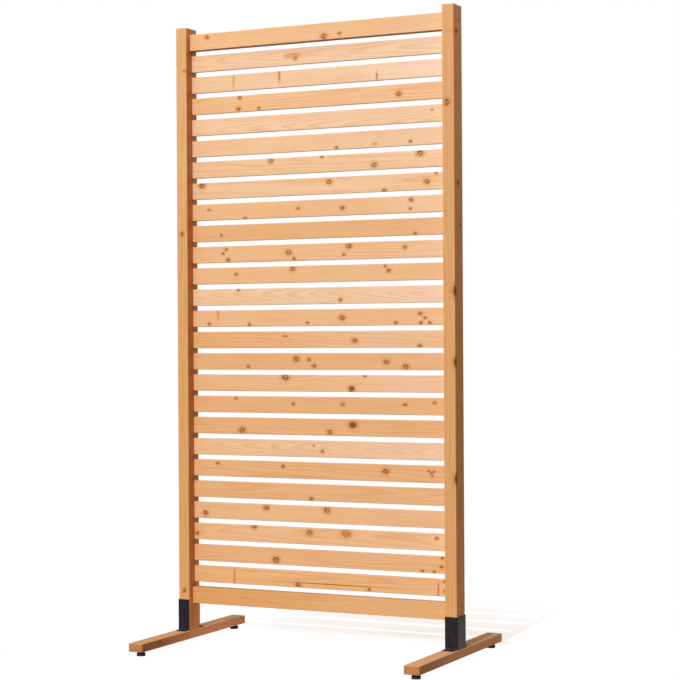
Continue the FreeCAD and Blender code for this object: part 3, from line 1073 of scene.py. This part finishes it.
@dataclass
class FrameScrews:
    """The countersunk screws through the posts into the boards' ends, in millimetres.

    Attributes:
        head: width of a head.
        shank: width of a shank.
        length: from the head's flat top to the point.
        sink: how deep the head sits below the post's face.
        mouth: how much wider the countersink is than the head, all round.
        slack: the room round the shank in its hole.
        hole: how deep the hole goes into the post.
        rim: height of a head's rim.
        neck: how much longer than wide the head's cone is.
        tip: length of the point.
        low: heights of the two lowest screws above the bottom rail's underside.
    """

    head: float = 7.4
    shank: float = 3.5
    length: float = 50.0
    sink: float = 0.4
    mouth: float = 0.6
    slack: float = 0.2
    hole: float = 30.0
    rim: float = 0.3
    neck: float = 0.2
    tip: float = 6.0
    low: tuple[float, float] = (21.5, 37.5)

    def heights(self) -> list[Vector]:
        """Where the screws enter, with nought across.

        Returns:
            One place for each screw.
        """
        spots = [middle_of(board) for board in ("rail_top", "slat_09", "slat_17")]
        foot = middle_of("rail_bottom")
        foot.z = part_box("rail_bottom")[0].z
        spots += [foot + Vector((0, 0, low * MM)) for low in self.low]
        return [Vector((0, spot.y, spot.z)) for spot in spots]

    def places(self, side: Side, depth: float = 0.0) -> list[Matrix]:
        """The turn and place of each screw on one side.

        Args:
            side: left or right.
            depth: how far below the post's outer face, in millimetres.

        Returns:
            One matrix for each screw, which sends the upright axis out of the post.
        """
        low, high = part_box(f"post_{side.name}")
        outer = high.x if side is Side.right else low.x
        turn = Matrix.Rotation(side.value * QUARTER, 4, "Y")
        across = Vector((outer - side.value * depth * MM, 0, 0))
        return [Matrix.Translation(spot + across) @ turn for spot in self.heights()]

    def countersinks(self, side: Side) -> bpy.types.Mesh:
        """The holes for one post, as a solid to take out of it.

        Args:
            side: left or right.

        Returns:
            The solid.
        """
        wide = self.head / 2 + self.mouth
        narrow = self.shank / 2 + self.slack
        mouth = [(0, PROUD), (wide + PROUD, PROUD), (narrow, narrow - wide)]
        hole = Shape()
        hole.turned([*mouth, (narrow, -self.hole), (0, -self.hole)], steps=28)
        return repeated(hole.mesh("countersink"), self.places(side), f"countersinks_{side.name}")

    def build(self, side: Side) -> bpy.types.Object:
        """Makes one side's screws.

        Args:
            side: left or right.

        Returns:
            The screws, as one piece.
        """
        edge, core = self.head / 2, self.shank / 2
        head = [(0, 0), (edge - self.rim, 0), (edge, -self.rim), (core, core - edge - self.neck)]
        body = Shape()
        body.turned([*head, (core, self.tip - self.length), (0, -self.length)], steps=24)
        node = f"frame_screws_{side.name}"
        single = recessed(body.mesh("frame_screw"), 0.0)
        group = repeated(single, self.places(side, self.sink), node)
        return finished(node, group, BRONZED_SCREW.material(node))


def recessed(
    mesh: bpy.types.Mesh,
    top: float,
    reach: float = 2.3,
    half: float = 0.6,
    depth: float = 1.7,
    taper: float = 0.5,
) -> bpy.types.Mesh:
    """Sinks a cross recess into a screw that stands on the upright axis.

    Args:
        mesh: the screw; it is used up.
        top: the height of the head's top, in millimetres.
        reach: from the middle to the end of an arm.
        half: half of an arm's thickness.
        depth: how deep it goes.
        taper: how wide it is at the bottom, beside its mouth.

    Returns:
        The screw with its recess.
    """
    for across, deep in ((reach, half), (half, reach)):
        tool = Shape()
        low = Vector((-across, -deep, top - depth)) * MM
        verts = tool.block(low, Vector((across, deep, top + PROUD)) * MM)
        bottom = [vert for vert in verts if vert.co.z < low.z + MM / 10]
        bmesh.ops.scale(tool.bm, verts=bottom, vec=(taper, taper, 1.0))
        mesh = cut(mesh, tool.mesh("recess"))
    return mesh


# -------------------------------------------------- posts


@dataclass
class Post:
    """An upright with eased edges, housings for the boards and countersinks for their screws.

    Attributes:
        side: which post it is.
        lumber: its wood.
        screws: the screws that go through it.
        boards: the nodes of the boards that it holds.
        edge: the rounding of its edges, in metres.
        housing_depth: how deep the housings are.
        clearance: the room round a board's end.
    """

    side: Side
    lumber: Lumber
    screws: FrameScrews
    boards: Sequence[str]
    edge: float = 1.6 * MM
    housing_depth: float = 10 * MM
    clearance: float = 0.15 * MM

    def housings(self) -> bpy.types.Mesh:
        """The housings of every board, as a solid to take out of the post.

        Returns:
            The solid.
        """
        tool = Shape()
        low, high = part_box(f"post_{self.side.name}")
        inner = low.x if self.side is Side.right else high.x
        ends = sorted((inner - self.side.value * PROUD * MM, inner + self.side.value * self.housing_depth))
        room = Vector((0, self.clearance, self.clearance))
        for board in self.boards:
            first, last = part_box(board)
            first.x, last.x = ends
            tool.block(first - room, last + room)
        return tool.mesh(f"housings_{self.side.name}")

    def build(self) -> bpy.types.Object:
        """Makes the post.

        Returns:
            The post.
        """
        node = f"post_{self.side.name}"
        low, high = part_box(node)
        shape = Shape()
        shape.block(low, high)
        foot = [e for e in shape.bm.edges if all(vert.co.z < low.z + MM for vert in e.verts)]
        shape.ease([e for e in shape.bm.edges if e not in foot], self.edge, 4)
        mesh = cut(shape.mesh(node), self.housings())
        mesh = cut(mesh, self.screws.countersinks(self.side))
        return finished(node, mesh, LARCH.material(node, self.lumber, Grain.UPRIGHT))


# -------------------------------------------------- feet


@dataclass
class Foot:
    """One timber foot with the holes for its bushes and studs, in millimetres.

    Attributes:
        side: which foot it is.
        lumber: its wood.
        edge: the rounding of its long edges, in metres.
        bush: width of the bush's hole.
        bush_depth: how deep that is.
        stud: width of the stud's hole above it.
        stud_depth: how far up that goes.
    """

    side: Side
    lumber: Lumber
    edge: float = 2.0 * MM
    bush: float = 9.6
    bush_depth: float = 12.0
    stud: float = 6.6
    stud_depth: float = 20.0

    def bores(self) -> bpy.types.Mesh:
        """The holes for the bushes and studs, as a solid to take out of the beam.

        Returns:
            The solid.
        """
        wide, narrow = self.bush / 2, self.stud / 2
        entry = [(0, -PROUD), (wide, -PROUD), (wide, self.bush_depth), (narrow, self.bush_depth)]
        hole = Shape()
        hole.turned([*entry, (narrow, self.stud_depth), (0, self.stud_depth)], steps=32)
        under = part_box(f"foot_beam_{self.side.name}")[0].z
        places = [upright_at(f"leveller_pad_{end.name}_{self.side.name}", under) for end in End]
        return repeated(hole.mesh("bore"), places, f"bores_{self.side.name}")

    def build(self) -> bpy.types.Object:
        """Makes the beam.

        Returns:
            The beam.
        """
        node = f"foot_beam_{self.side.name}"
        shape = Shape()
        shape.block(*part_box(node))
        shape.ease(list(shape.bm.edges), self.edge, 4)
        mesh = cut(shape.mesh(node), self.bores())
        return finished(node, mesh, LARCH.material(node, self.lumber, Grain.DEEP))


@dataclass
class Leveller:
    """One levelling foot: a moulded glide and a threaded stud, in millimetres.

    Attributes:
        side: which foot of the screen it is under.
        end: which end of that foot.
        glide_profile: (radius, height) corners of the glide, from its sole round to the stud's seat.
        glide_soft: the rounding of those corners.
        disc: radius, underside and top of the stud's disc, which turns in the glide.
        stud_top: the height of the stud's top.
        stud_soft: the rounding of the stud's corners.
        chamfer: width and height of the bevel at its top.
        crest: the thread's outer radius.
        thread_depth: the depth of the thread.
        thread_from: the height at which the thread begins.
        sunk: how far the thread's ridge reaches into the core.
        pitch: the thread's rise in one turn.
        ridge: how much of that the ridge takes up.
        turns: how many turns it has.
        steps: the flat steps in one turn.
    """

    side: Side
    end: End
    glide_profile: Sequence[tuple[float, float]] = (
        (0, 0), (12.5, 0), (12.5, 7), (10.8, 8.5), (7, 8.5), (7, 12.4), (3.3, 12.4), (3.3, 5.2),
        (5.3, 5.2), (5.3, 3), (0, 3),
    )
    glide_soft: float = 0.36
    disc: tuple[float, float, float] = (5.0, 3.1, 5.1)
    stud_top: float = 31.0
    stud_soft: float = 0.2
    chamfer: tuple[float, float] = (0.9, 0.6)
    crest: float = 3.0
    thread_depth: float = 0.55
    thread_from: float = 8.0
    sunk: float = 0.2
    pitch: float = 1.0
    ridge: float = 0.76
    turns: int = 21
    steps: int = 20

    def glide(self) -> bpy.types.Object:
        """Makes the glide.

        Returns:
            The glide.
        """
        node = f"leveller_pad_{self.end.name}_{self.side.name}"
        shape = Shape()
        shape.turned(self.glide_profile, steps=48, soft=self.glide_soft)
        shape.move(upright_at(node, 0.0))
        body = f"glide_{self.end.name}_{self.side.name}"
        return finished(node, shape.mesh(node), BLACK_PLASTIC.material(node), body)

    def stud(self) -> bpy.types.Object:
        """Makes the stud and its thread.

        Returns:
            The stud.
        """
        node = f"leveller_stud_{self.end.name}_{self.side.name}"
        root, top = self.crest - self.thread_depth, self.stud_top
        sunk = root - self.sunk
        wide, under, over = self.disc
        disc = [(0, under), (wide, under), (wide, over), (root, over)]
        narrower, lower = self.chamfer
        shape = Shape()
        end = [(root, top - lower), (root - narrower, top), (0, top)]
        shape.turned([*disc, *end], steps=32, soft=self.stud_soft)
        corners = [(sunk, 0.0), (self.crest, self.ridge / 2), (sunk, self.ridge)]
        verts = [
            shape.bm.verts.new((radius * MM, 0, (self.thread_from + rise * self.pitch) * MM))
            for radius, rise in corners
        ]
        face = shape.bm.faces.new(verts)
        climb = (0, 0, self.pitch * MM / self.steps)
        ridge = [face, *face.edges, *face.verts]
        shape.spin(ridge, FULL_TURN * self.turns, self.steps * self.turns, dvec=climb)
        shape.move(upright_at(node, 0.0))
        body = f"stud_{self.end.name}_{self.side.name}"
        return finished(node, shape.mesh(node), ZINC_STEEL.material(node), body)


@dataclass
class Bushes:
    """The flanged threaded bushes under the feet, in millimetres.

    Attributes:
        flange: radius of the flange.
        lip: its thickness.
        outer: radius of the body.
        bore: radius of the hole.
        length: from end to end.
        soft: the rounding of the corners.
        slot: half the width of the slot in the flange, and its depth.
        slot_reach: from the middle to the end of that slot.
    """

    flange: float = 9.0
    lip: float = 1.5
    outer: float = 4.75
    bore: float = 3.05
    length: float = 13.5
    soft: float = 0.15
    slot: float = 0.8
    slot_reach: float = 12.0

    def build(self) -> bpy.types.Object:
        """Makes all four.

        Returns:
            The bushes, as one piece.
        """
        shape = Shape()
        lip, outer, bore = self.lip, self.outer, self.bore
        flange = [(bore, 0), (self.flange, 0), (self.flange, lip), (outer, lip)]
        shape.turned([*flange, (outer, self.length), (bore, self.length)], steps=40, soft=self.soft)
        slot = Shape()
        reach = Vector((self.slot_reach, self.slot, self.slot)) * MM
        slot.block((-reach.x, -reach.y, -PROUD * MM), reach)
        single = cut(shape.mesh("bush"), slot.mesh("slot"))
        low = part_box("threaded_inserts")[0].z
        places = [upright_at(f"leveller_pad_{end.name}_{side.name}", low) for side in Side for end in End]
        group = repeated(single, places, "threaded_inserts")
        return finished("threaded_inserts", group, ZINC_STEEL.material("threaded_inserts"))


# -------------------------------------------------- brackets


@dataclass
class Bracket:
    """A strip of steel folded round three sides of a post, with two tabs on the foot, in millimetres.

    Attributes:
        side: which post it holds.
        thickness: the steel's thickness.
        slack: the room between the post and the steel.
        corner_bend: inside radius of the corners.
        tab_bend: inside radius of the tabs' bends.
        relief: how far the tabs' bends stay clear of the corners.
        tab_corner: the rounding of the tabs' ends.
        crisp: the rounding of the sheared edges.
    """

    side: Side
    thickness: float = 2.3
    slack: float = 0.2
    corner_bend: float = 1.8
    tab_bend: float = 2.0
    relief: float = 1.0
    tab_corner: float = 2.0
    crisp: float = 0.35

    def _walk(self, shape: Shape, start: Vector, moves: Sequence[object]) -> None:
        """Draws a path: a vector is a straight run to that point, a pair a quarter bend about a point.

        Args:
            shape: what the path is drawn in.
            start: its first point.
            moves: the runs and bends in order; a bend's turn is 1 or -1.
        """
        tip = shape.bm.verts.new(start)
        for move in moves:
            if isinstance(move, Vector):
                grown = bmesh.ops.extrude_vert_indiv(shape.bm, verts=[tip])["verts"]
                grown[0].co = move
                tip = grown[0]
            else:
                centre, turn = move
                bent = shape.spin([tip], turn * QUARTER, BEND_STEPS, centre)
                tip = next(item for item in bent if isinstance(item, bmesh.types.BMVert))

    def _extrude(
        self, shape: Shape, edges: Iterable[bmesh.types.BMEdge], move: Vector
    ) -> list[bmesh.types.BMEdge]:
        """Draws a face out of each edge.

        Args:
            shape: what the faces are drawn in.
            edges: the edges.
            move: how far they go.

        Returns:
            The edges at the far side.
        """
        made = bmesh.ops.extrude_edge_only(shape.bm, edges=list(edges))["geom"]
        verts = [item for item in made if isinstance(item, bmesh.types.BMVert)]
        bmesh.ops.translate(shape.bm, verts=verts, vec=move)
        drawn = [item for item in made if isinstance(item, bmesh.types.BMEdge)]
        return [edge for edge in drawn if set(edge.verts) <= set(verts)]

    def sheet(self) -> Shape:
        """The right-hand bracket's inner skin, without thickness.

        Returns:
            The skin.
        """
        low, high = (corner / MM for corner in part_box("bracket_right"))
        steel = self.thickness
        bend = self.tab_bend + steel
        top, base = high.z, low.z
        fold = base + bend + self.relief
        outer_x = high.x - steel
        post = middle_of("post_right") / MM
        inner_y = (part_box("post_right")[1] / MM).y + self.slack
        corner = self.corner_bend
        tab_side = high.x - corner - steel - self.relief
        shape = Shape()

        def at(across: float, deep: float, height: float = fold) -> Vector:
            """A point given in millimetres."""
            return Vector((across, deep, height)) * MM

        moves = [
            at(tab_side, -inner_y),
            at(outer_x - corner, -inner_y),
            (at(outer_x - corner, corner - inner_y), 1),
            at(outer_x, inner_y - corner),
            (at(outer_x - corner, inner_y - corner), 1),
            at(tab_side, inner_y),
            at(low.x, inner_y),
        ]
        self._walk(shape, at(low.x, -inner_y), moves)
        path = list(shape.bm.edges)
        self._extrude(shape, path, Vector((0, 0, (top - fold) * MM)))
        bare = (outer_x - corner - TINY) * MM
        skirt = [edge for edge in path if all(vert.co.x > bare for vert in edge.verts)]
        self._extrude(shape, skirt, Vector((0, 0, (base - fold) * MM)))
        for facing in (-1, 1):
            plate = [
                edge
                for edge in path
                if all(vert.co.x < (tab_side + TINY) * MM and vert.co.y * facing > 0 for vert in edge.verts)
            ]
            lower = self._extrude(shape, plate, Vector((0, 0, -self.relief * MM)))
            centre = at(post.x, facing * (inner_y + bend), base + bend)
            bent = shape.spin(lower, QUARTER, BEND_STEPS, centre, (facing, 0, 0))
            tip = [item for item in bent if isinstance(item, bmesh.types.BMEdge)]
            run = high.y - (inner_y + bend)
            end = self._extrude(shape, tip, Vector((0, facing * run * MM, 0)))
            corners = {vert for edge in end for vert in edge.verts}
            shape.ease(corners, self.tab_corner * MM, 4, "VERTICES")
        bmesh.ops.remove_doubles(shape.bm, verts=shape.bm.verts, dist=1e-6)
        return shape

    def build(self) -> bpy.types.Object:
        """Makes the bracket.

        Returns:
            The bracket.
        """
        node = f"bracket_{self.side.name}"
        shape = self.sheet()
        bmesh.ops.recalc_face_normals(shape.bm, faces=shape.bm.faces)
        first = max(shape.bm.faces, key=lambda face: face.calc_center_median().x)
        if first.normal.x < 0:
            bmesh.ops.reverse_faces(shape.bm, faces=shape.bm.faces)
        bmesh.ops.solidify(shape.bm, geom=shape.bm.faces, thickness=-self.thickness * MM)
        shape.ease_sharp(self.crisp * MM, 2)
        if self.side is Side.left:
            bmesh.ops.scale(shape.bm, verts=shape.bm.verts, vec=(-1, 1, 1))
        return finished(node, shape.mesh(node), BLACK_STEEL.material(node))


@dataclass
class BracketScrews:
    """The pan-head screws of one bracket, in millimetres.

    Attributes:
        bracket: the bracket that they hold.
        head: width of a head.
        height: height of a head.
        shank: width of a shank.
        length: length under the head.
        tip: length of the point.
        crown: the head's outline from its top to its rim, as shares of its radius and height.
        recess: from the middle to the end of the recess's arms.
        low: height of the lower plate screws above the foot.
        spacing: from those to the upper ones.
        inset: from the end of a tab to its screw.
    """

    bracket: Bracket
    head: float = 8.4
    height: float = 2.6
    shank: float = 4.0
    length: float = 18.0
    tip: float = 4.0
    crown: Sequence[tuple[float, float]] = (
        (0, 1), (0.45, 0.985), (0.75, 0.86), (0.93, 0.6), (1, 0.25), (1, 0),
    )
    recess: float = 2.5
    low: float = 32.0
    spacing: float = 33.0
    inset: float = 9.0

    def single(self) -> bpy.types.Mesh:
        """One screw on the origin, its head upwards.

        Returns:
            The screw.
        """
        core = self.shank / 2
        crown = [(share * self.head / 2, high * self.height) for share, high in self.crown]
        body = Shape()
        body.turned([*crown, (core, 0), (core, self.tip - self.length), (0, -self.length)], steps=28)
        return recessed(body.mesh("pan_screw"), self.height, self.recess)

    def build(self) -> None:
        """Makes the screws into the post and those into the foot."""
        side = self.bracket.side.name
        steel = self.bracket.thickness * MM
        low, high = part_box(f"bracket_{side}")
        middle = middle_of(f"post_{side}")
        plate_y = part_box(f"post_{side}")[1].y + self.bracket.slack * MM + steel
        tab_x = middle_of(f"bracket_base_screws_{side}").x
        plate, tab = [], []
        for end in End:
            outward = Matrix.Rotation(-end.value * QUARTER, 4, "X")
            for height in (self.low, self.low + self.spacing):
                spot = Vector((middle.x, end.value * plate_y, low.z + height * MM))
                plate.append(Matrix.Translation(spot) @ outward)
            tab.append(Matrix.Translation((tab_x, end.value * (high.y - self.inset * MM), low.z + steel)))
        for kind, places in (("post", plate), ("base", tab)):
            node = f"bracket_{kind}_screws_{side}"
            group = repeated(self.single(), places, node)
            finished(node, group, BLACK_SCREW.material(node))


# -------------------------------------------------- stage


@dataclass(frozen=True)
class Softbox:
    """A square soft light that points at the screen.

    Attributes:
        name: its name.
        place: where it stands, in metres.
        size: its width.
        power: its strength in watts.
        target: the point that it faces.
    """

    name: str
    place: tuple[float, float, float]
    size: float
    power: float
    target: tuple[float, float, float] = (0.0, 0.0, 0.9)

    def build(self) -> bpy.types.Object:
        """Makes the light.

        Returns:
            The light.
        """
        data = bpy.data.lights.new(self.name, "AREA")
        data.energy = self.power
        data.size = self.size
        light = placed(self.name, data)
        light.location = self.place
        away = Vector(self.place) - Vector(self.target)
        light.rotation_euler = away.to_track_quat("Z", "Y").to_euler()
        return light


@dataclass
class Studio:
    """White surroundings, soft studio light and the photograph's camera.

    Attributes:
        lens: focal length for a 36 mm sensor.
        eye: where the camera stands, in metres.
        yaw: how far it is turned to the left, in radians.
        pitch: how far it looks up.
        roll: how far it leans.
        ambient: the plain light from all round.
        mirrored: how much of the white surroundings shows in reflections.
        sun: strength of the main light.
        sun_height: how high the main light stands, in radians.
        sun_side: how far to the right of the front it stands.
        sun_spread: how wide it looks.
        softboxes: the soft lights.
        shade: the floor's colour where it throws light back at the screen.
        underfoot: the same, between the feet.
        inside: from where to where that ends towards the right, in metres.
        behind: from where to where it begins, in metres behind the middle.
        beside: how much of it is left to the right.
        reach: from where to where it ends all round, in metres from the middle.
        oval: how much it counts to be off the middle to the side and to the rear.
        stain: the floor's colour where it is looked at.
        glow: what is added to that to make it white in the light.
        near: from where to where the floor's shadows grow full behind the screen's front, in metres.
        faded: how much of them is gone in front of that.
        far: how far from the screen they begin and end to fade, in metres.
        half_floor: half the floor's width, in metres.
    """

    lens: float = 97.42
    eye: tuple[float, float, float] = (2.36899, -4.65974, 0.89174)
    yaw: float = 0.4572693
    pitch: float = -0.0013325
    roll: float = -0.0056597
    ambient: Colour = (0.09, 0.075, 0.062)
    mirrored: float = 0.2
    sun: float = 2.2
    sun_height: float = math.radians(22.6)
    sun_side: float = math.radians(3.6)
    sun_spread: float = math.radians(0.9)
    softboxes: tuple[Softbox, ...] = (
        Softbox("front_softbox", (-0.9, -5.5, 4.4), 3.6, 108.0),
        Softbox("upper_softbox", (-2.0, -0.5, 4.8), 3.0, 108.0),
        Softbox("rear_softbox", (2.7, 1.6, 3.3), 1.6, 40.0),
    )
    shade: Colour = (0.12, 0.095, 0.075)
    underfoot: Colour = (0.95, 0.80, 0.66)
    inside: tuple[float, float] = (0.40, 0.46)
    behind: tuple[float, float] = (-0.25, 0.0)
    beside: float = 0.55
    reach: tuple[float, float] = (0.6, 1.2)
    oval: tuple[float, float] = (1.0, 0.7)
    stain: Colour = (0.46, 0.82, 1.0)
    glow: Colour = (0.695, 0.455, 0.34)
    near: tuple[float, float] = (0.28, 0.38)
    faded: float = 0.94
    far: tuple[float, float] = (0.42, 0.86)
    half_floor: float = 20.0

    def camera(self) -> None:
        """Sets up the photograph's view."""
        level = Vector((math.cos(self.yaw), math.sin(self.yaw), 0))
        ahead = Vector((-math.sin(self.yaw), math.cos(self.yaw), 0))
        forward = ahead * math.cos(self.pitch) + Vector((0, 0, math.sin(self.pitch)))
        upright = level.cross(forward)
        right = level * math.cos(self.roll) + upright * math.sin(self.roll)
        up = upright * math.cos(self.roll) - level * math.sin(self.roll)
        data = bpy.data.cameras.new("camera")
        data.lens = self.lens
        data.sensor_width = 36
        data.clip_end = 60
        camera = placed("camera", data)
        axes = Matrix((right, up, -forward)).transposed().to_4x4()
        camera.matrix_world = Matrix.Translation(self.eye) @ axes
        bpy.context.scene.camera = camera

    def lights(self) -> None:
        """Sets up the main light in front and the softboxes."""
        data = bpy.data.lights.new("main_light", "SUN")
        data.energy = self.sun
        data.angle = self.sun_spread
        main = placed("main_light", data)
        main.rotation_euler = (QUARTER - self.sun_height, 0, self.sun_side)
        for softbox in self.softboxes:
            softbox.build()

    def seen(self, graph: Graph) -> Value:
        """One where a surface is looked at, less in reflections, nought where it only throws light."""
        mirrored = self.mirrored * graph.node("ShaderNodeLightPath", output="Is Glossy Ray")
        return (graph.node("ShaderNodeLightPath", output="Is Camera Ray") + mirrored).at_most(1.0)

    def surroundings(self) -> None:
        """A world that looks white and lights plainly."""
        world = bpy.data.worlds.new("surroundings")
        bpy.context.scene.world = world
        graph = Graph(world)
        graph.dress(Color=graph.mix(self.seen(graph), self.ambient, (1.0, 1.0, 1.0)))

    def floor(self) -> None:
        """A wide pale floor whose shadows fade with distance into plain white."""
        shape = Shape()
        bmesh.ops.create_grid(shape.bm, x_segments=1, y_segments=1, size=self.half_floor)
        piece = placed("floor", shape.mesh("floor"))
        graph = Graph.of_material("floor")
        place = graph.node("ShaderNodeTexCoord", output="Object")
        away = graph.vector("LENGTH", graph.vector("MULTIPLY", place, (*self.oval, 0.0)), output="Value")
        across, back, _ = graph.parts(place)
        between = away.eased(*self.reach, 1.0, 0.0) * back.eased(*self.behind)
        between = between * across.eased(*self.inside, 1.0, self.beside)
        shade = graph.mix(between, self.shade, self.underfoot)
        seen = self.seen(graph)
        plain = away.eased(*self.far).at_least(back.eased(*self.near, self.faded, 0.0)) * seen
        white = graph.node("ShaderNodeEmission", None, {"Color": (1.0, 1.0, 1.0), "Strength": 1.0})
        graph.dress(
            Base_Color=graph.mix(seen, shade, self.stain),
            Roughness=0.9,
            Specular_IOR_Level=0.0,
            Emission_Color=graph.mix(seen, (0.0, 0.0, 0.0), self.glow),
            Emission_Strength=1.0,
        )
        surface = Value(graph, graph.shader.outputs[0])
        mixed = graph.node("ShaderNodeMixShader", None, {0: plain, 1: surface, 2: white})
        graph.feed(graph.tree.nodes["Material Output"].inputs["Surface"], mixed)
        piece.data.materials.append(graph.owner)

    def build(self) -> None:
        """Sets up everything that isn't the screen."""
        self.camera()
        self.lights()
        self.surroundings()
        self.floor()
        bpy.context.scene.view_settings.view_transform = "Standard"


# -------------------------------------------------- the lumber

FAINT, STAIN, DARK = Heart.FAINT, Heart.STAIN, Heart.DARK


def wood(tone: Tone, *knots: tuple[object, ...], **others: object) -> Lumber:
    """Lumber with these knots, each given by Knot's values in their order."""
    return Lumber(tone, tuple(Knot(*knot) for knot in knots), **others)


BOARDS: dict[str, Lumber] = {
    "rail_top": wood(Tone.HONEY, (-347, 12, 10), (34, -14, 14), (84, -9, 8, 0, STAIN)),
    "slat_01": wood(
        Tone.PALE, (-63, -5, 12, 9, STAIN), (-74, 3, 26, 9, FAINT), pith=(40, 2), tilt=0.02, paler=0.4,
    ),
    "slat_02": wood(
        Tone.PALE, (-265, 4, 4, 24, FAINT), (-115, 10, 5, 22, STAIN), (194, -11, 4, 16, STAIN),
        paler=0.5,
    ),
    "slat_03": wood(Tone.HONEY, (-245, 17, 10), (-249, -15, 10), (-182, -17), (261, -3, 13), paler=0.3),
    "slat_04": wood(Tone.PALE, (361, 9, 5, 0, STAIN), pith=(30, -14), tilt=0.03),
    "slat_05": wood(Tone.PEACH, (67, -18), (187, -14, 9, 4, FAINT), (296, -13), paler=0.4),
    "slat_06": wood(Tone.PEACH, (-144, 16, 13), (20, 20), (325, 16, 16), (184, -10, 14), paler=0.3),
    "slat_07": wood(Tone.PEACH, (-373, 16, 16), (43, 10, 13), (345, -1, 13), (215, -21, 10), (373, 22)),
    "slat_08": wood(
        Tone.HONEY, (-350, 7, 9, 5, STAIN), (-56, 1, 9, 6), (-229, -21), (84, -3, 11), (294, -12, 7),
        (297, 12, 11), paler=0.5,
    ),
    "slat_09": wood(Tone.AMBER, (-309, -5, 7), (309, -19)),
    "slat_10": wood(
        Tone.HONEY, (-293, 14), (-303, 3, 7), (-286, -16, 10), (-87, 1, 14), (-70, -17), (104, 13, 13),
        (88, -10), (277, 6, 10), paler=0.4,
    ),
    "slat_11": wood(Tone.HONEY, (-260, 4), (-75, 15, 13), (217, 17, 8, 0, STAIN), (227, 5, 10)),
    "slat_12": wood(Tone.PALE, (-253, 21), (77, -13, 10), pith=(35, 6), tilt=0.03, paler=0.4),
    "slat_13": wood(
        Tone.HONEY, (-322, 12, 4, 20, FAINT), (-351, -15, 8), (-217, -18), (-29, -15), (82, -1, 14),
        (322, 8, 10), (337, -4), (324, -18), (351, -17), (248, -17),
    ),
    "slat_14": wood(Tone.AMBER, (-100, 10, 12, 4, STAIN), (121, -4, 13), (320, -19, 10), paler=1.0),
    "slat_15": wood(
        Tone.AMBER, (-65, 7, 14), (-24, 5), (-8, -13, 10), (-221, -15), (218, -1, 13), (278, -14, 13),
    ),
    "slat_16": wood(Tone.HONEY, (-100, 17, 18), (152, 21, 8, 5), (111, -15, 16, 0, DARK), paler=0.7),
    "slat_17": wood(
        Tone.AMBER, (-262, 17, 8, 6, STAIN), (-76, 3), (82, 3, 9, 7, STAIN), (275, 4, 9, 6),
        (364, 10, 8, 0, STAIN),
    ),
    "slat_18": wood(Tone.AMBER, (-243, -12, 15), (41, -13, 12), (114, 8, 19, 15, DARK), paler=-0.1),
    "slat_19": wood(Tone.PEACH, (17, -6), (-10, 9, 5, 0, STAIN), pith=(32, 3), tilt=0.03, paler=0.3),
    "slat_20": wood(
        Tone.AMBER, (-325, 14, 9, 6), (-109, 10, 9), (215, 4, 14), (345, 9, 5), (353, 3, 7),
        (362, 8, 5), (356, -4, 5), paler=-0.2,
    ),
    "slat_21": wood(Tone.AMBER, (-19, -18, 10)),
    "slat_22": wood(Tone.HONEY, (-367, -8, 13), (-165, 14, 14), (31, 14, 16), paler=0.15),
    "slat_23": wood(
        Tone.HONEY, (-205, 21, 13), (-25, 10, 14), (-396, -7, 10), (91, 12, 22, 15, STAIN), (368, 11),
        paler=0.25,
    ),
    "slat_24": wood(Tone.AMBER, (-134, -10, 16), (385, 19), (382, -5), (361, -20, 7), (325, -19, 7)),
    "slat_25": wood(
        Tone.AMBER, (-272, -4, 3, 34, STAIN), (372, -6, 3, 30, STAIN), (-63, -15, 13), (162, -17),
        (49, -9.5, 230, 1.8, DARK), (392, 17), (393, -10),
    ),
    "rail_bottom": wood(Tone.GOLD, pith=(17, 1), tilt=0.003, rings=2.3, paler=1.2, eye=178),
}

# The tint given last for each post is painted shade on its face towards +X.
POSTS: dict[Side, Lumber] = {
    Side.left: wood(
        Tone.GOLD, (755, -10, 7, 0, STAIN), (278, 0.5, 10), (-765, -1.5, 10), pith=(70, -20),
        paler=0.22, oiled=(0.92, 0.73, 0.58),
    ),
    Side.right: wood(
        Tone.GOLD, (613, 3.5, 14), (808, 0, 9, 14, DARK, Facing.HIGH, -11),
        (394, 0, 14, 10, DARK, Facing.HIGH, -3), (98, -19, 24, 11, DARK, Facing.EDGE, -27),
        (-96, -19, 22, 10, DARK, Facing.EDGE, -27), (-415, -19, 22, 10, DARK, Facing.EDGE, -27),
        pith=(70, 25), paler=0.06, oiled=(1.07, 0.88, 0.76),
    ),
}

# Painted shade on the feet's faces towards +X, set on each foot below.
BEAM_SIDE_SHADE = (0.97, 0.79, 0.66)

FEET: dict[Side, Lumber] = {
    Side.left: wood(
        Tone.RUSSET, (-200, 4, 12, 7, FAINT), pith=(12, 40), tilt=0.0, rings=4.5, low_side=Facing.DEEP,
        oiled=BEAM_SIDE_SHADE,
    ),
    Side.right: wood(
        Tone.RUSSET, pith=(-6, -22), tilt=0.0, rings=5.5, low_side=Facing.DEEP, oiled=BEAM_SIDE_SHADE,
    ),
}


def write_sizes() -> None:
    """Updates the view layer.
    """
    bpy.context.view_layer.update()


def main() -> None:
    """Builds the screen and its surroundings."""
    logging.basicConfig(level=logging.INFO)
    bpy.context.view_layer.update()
    Studio().build()
    Panel(lumber=BOARDS).build()
    screws = FrameScrews()
    for side in Side:
        Post(side, POSTS[side], screws, list(BOARDS)).build()
        screws.build(side)
        Foot(side, FEET[side]).build()
        bracket = Bracket(side)
        bracket.build()
        BracketScrews(bracket).build()
        for end in End:
            leveller = Leveller(side, end)
            leveller.glide()
            leveller.stud()
    Bushes().build()
    write_sizes()


if __name__ == "__main__":
    main()
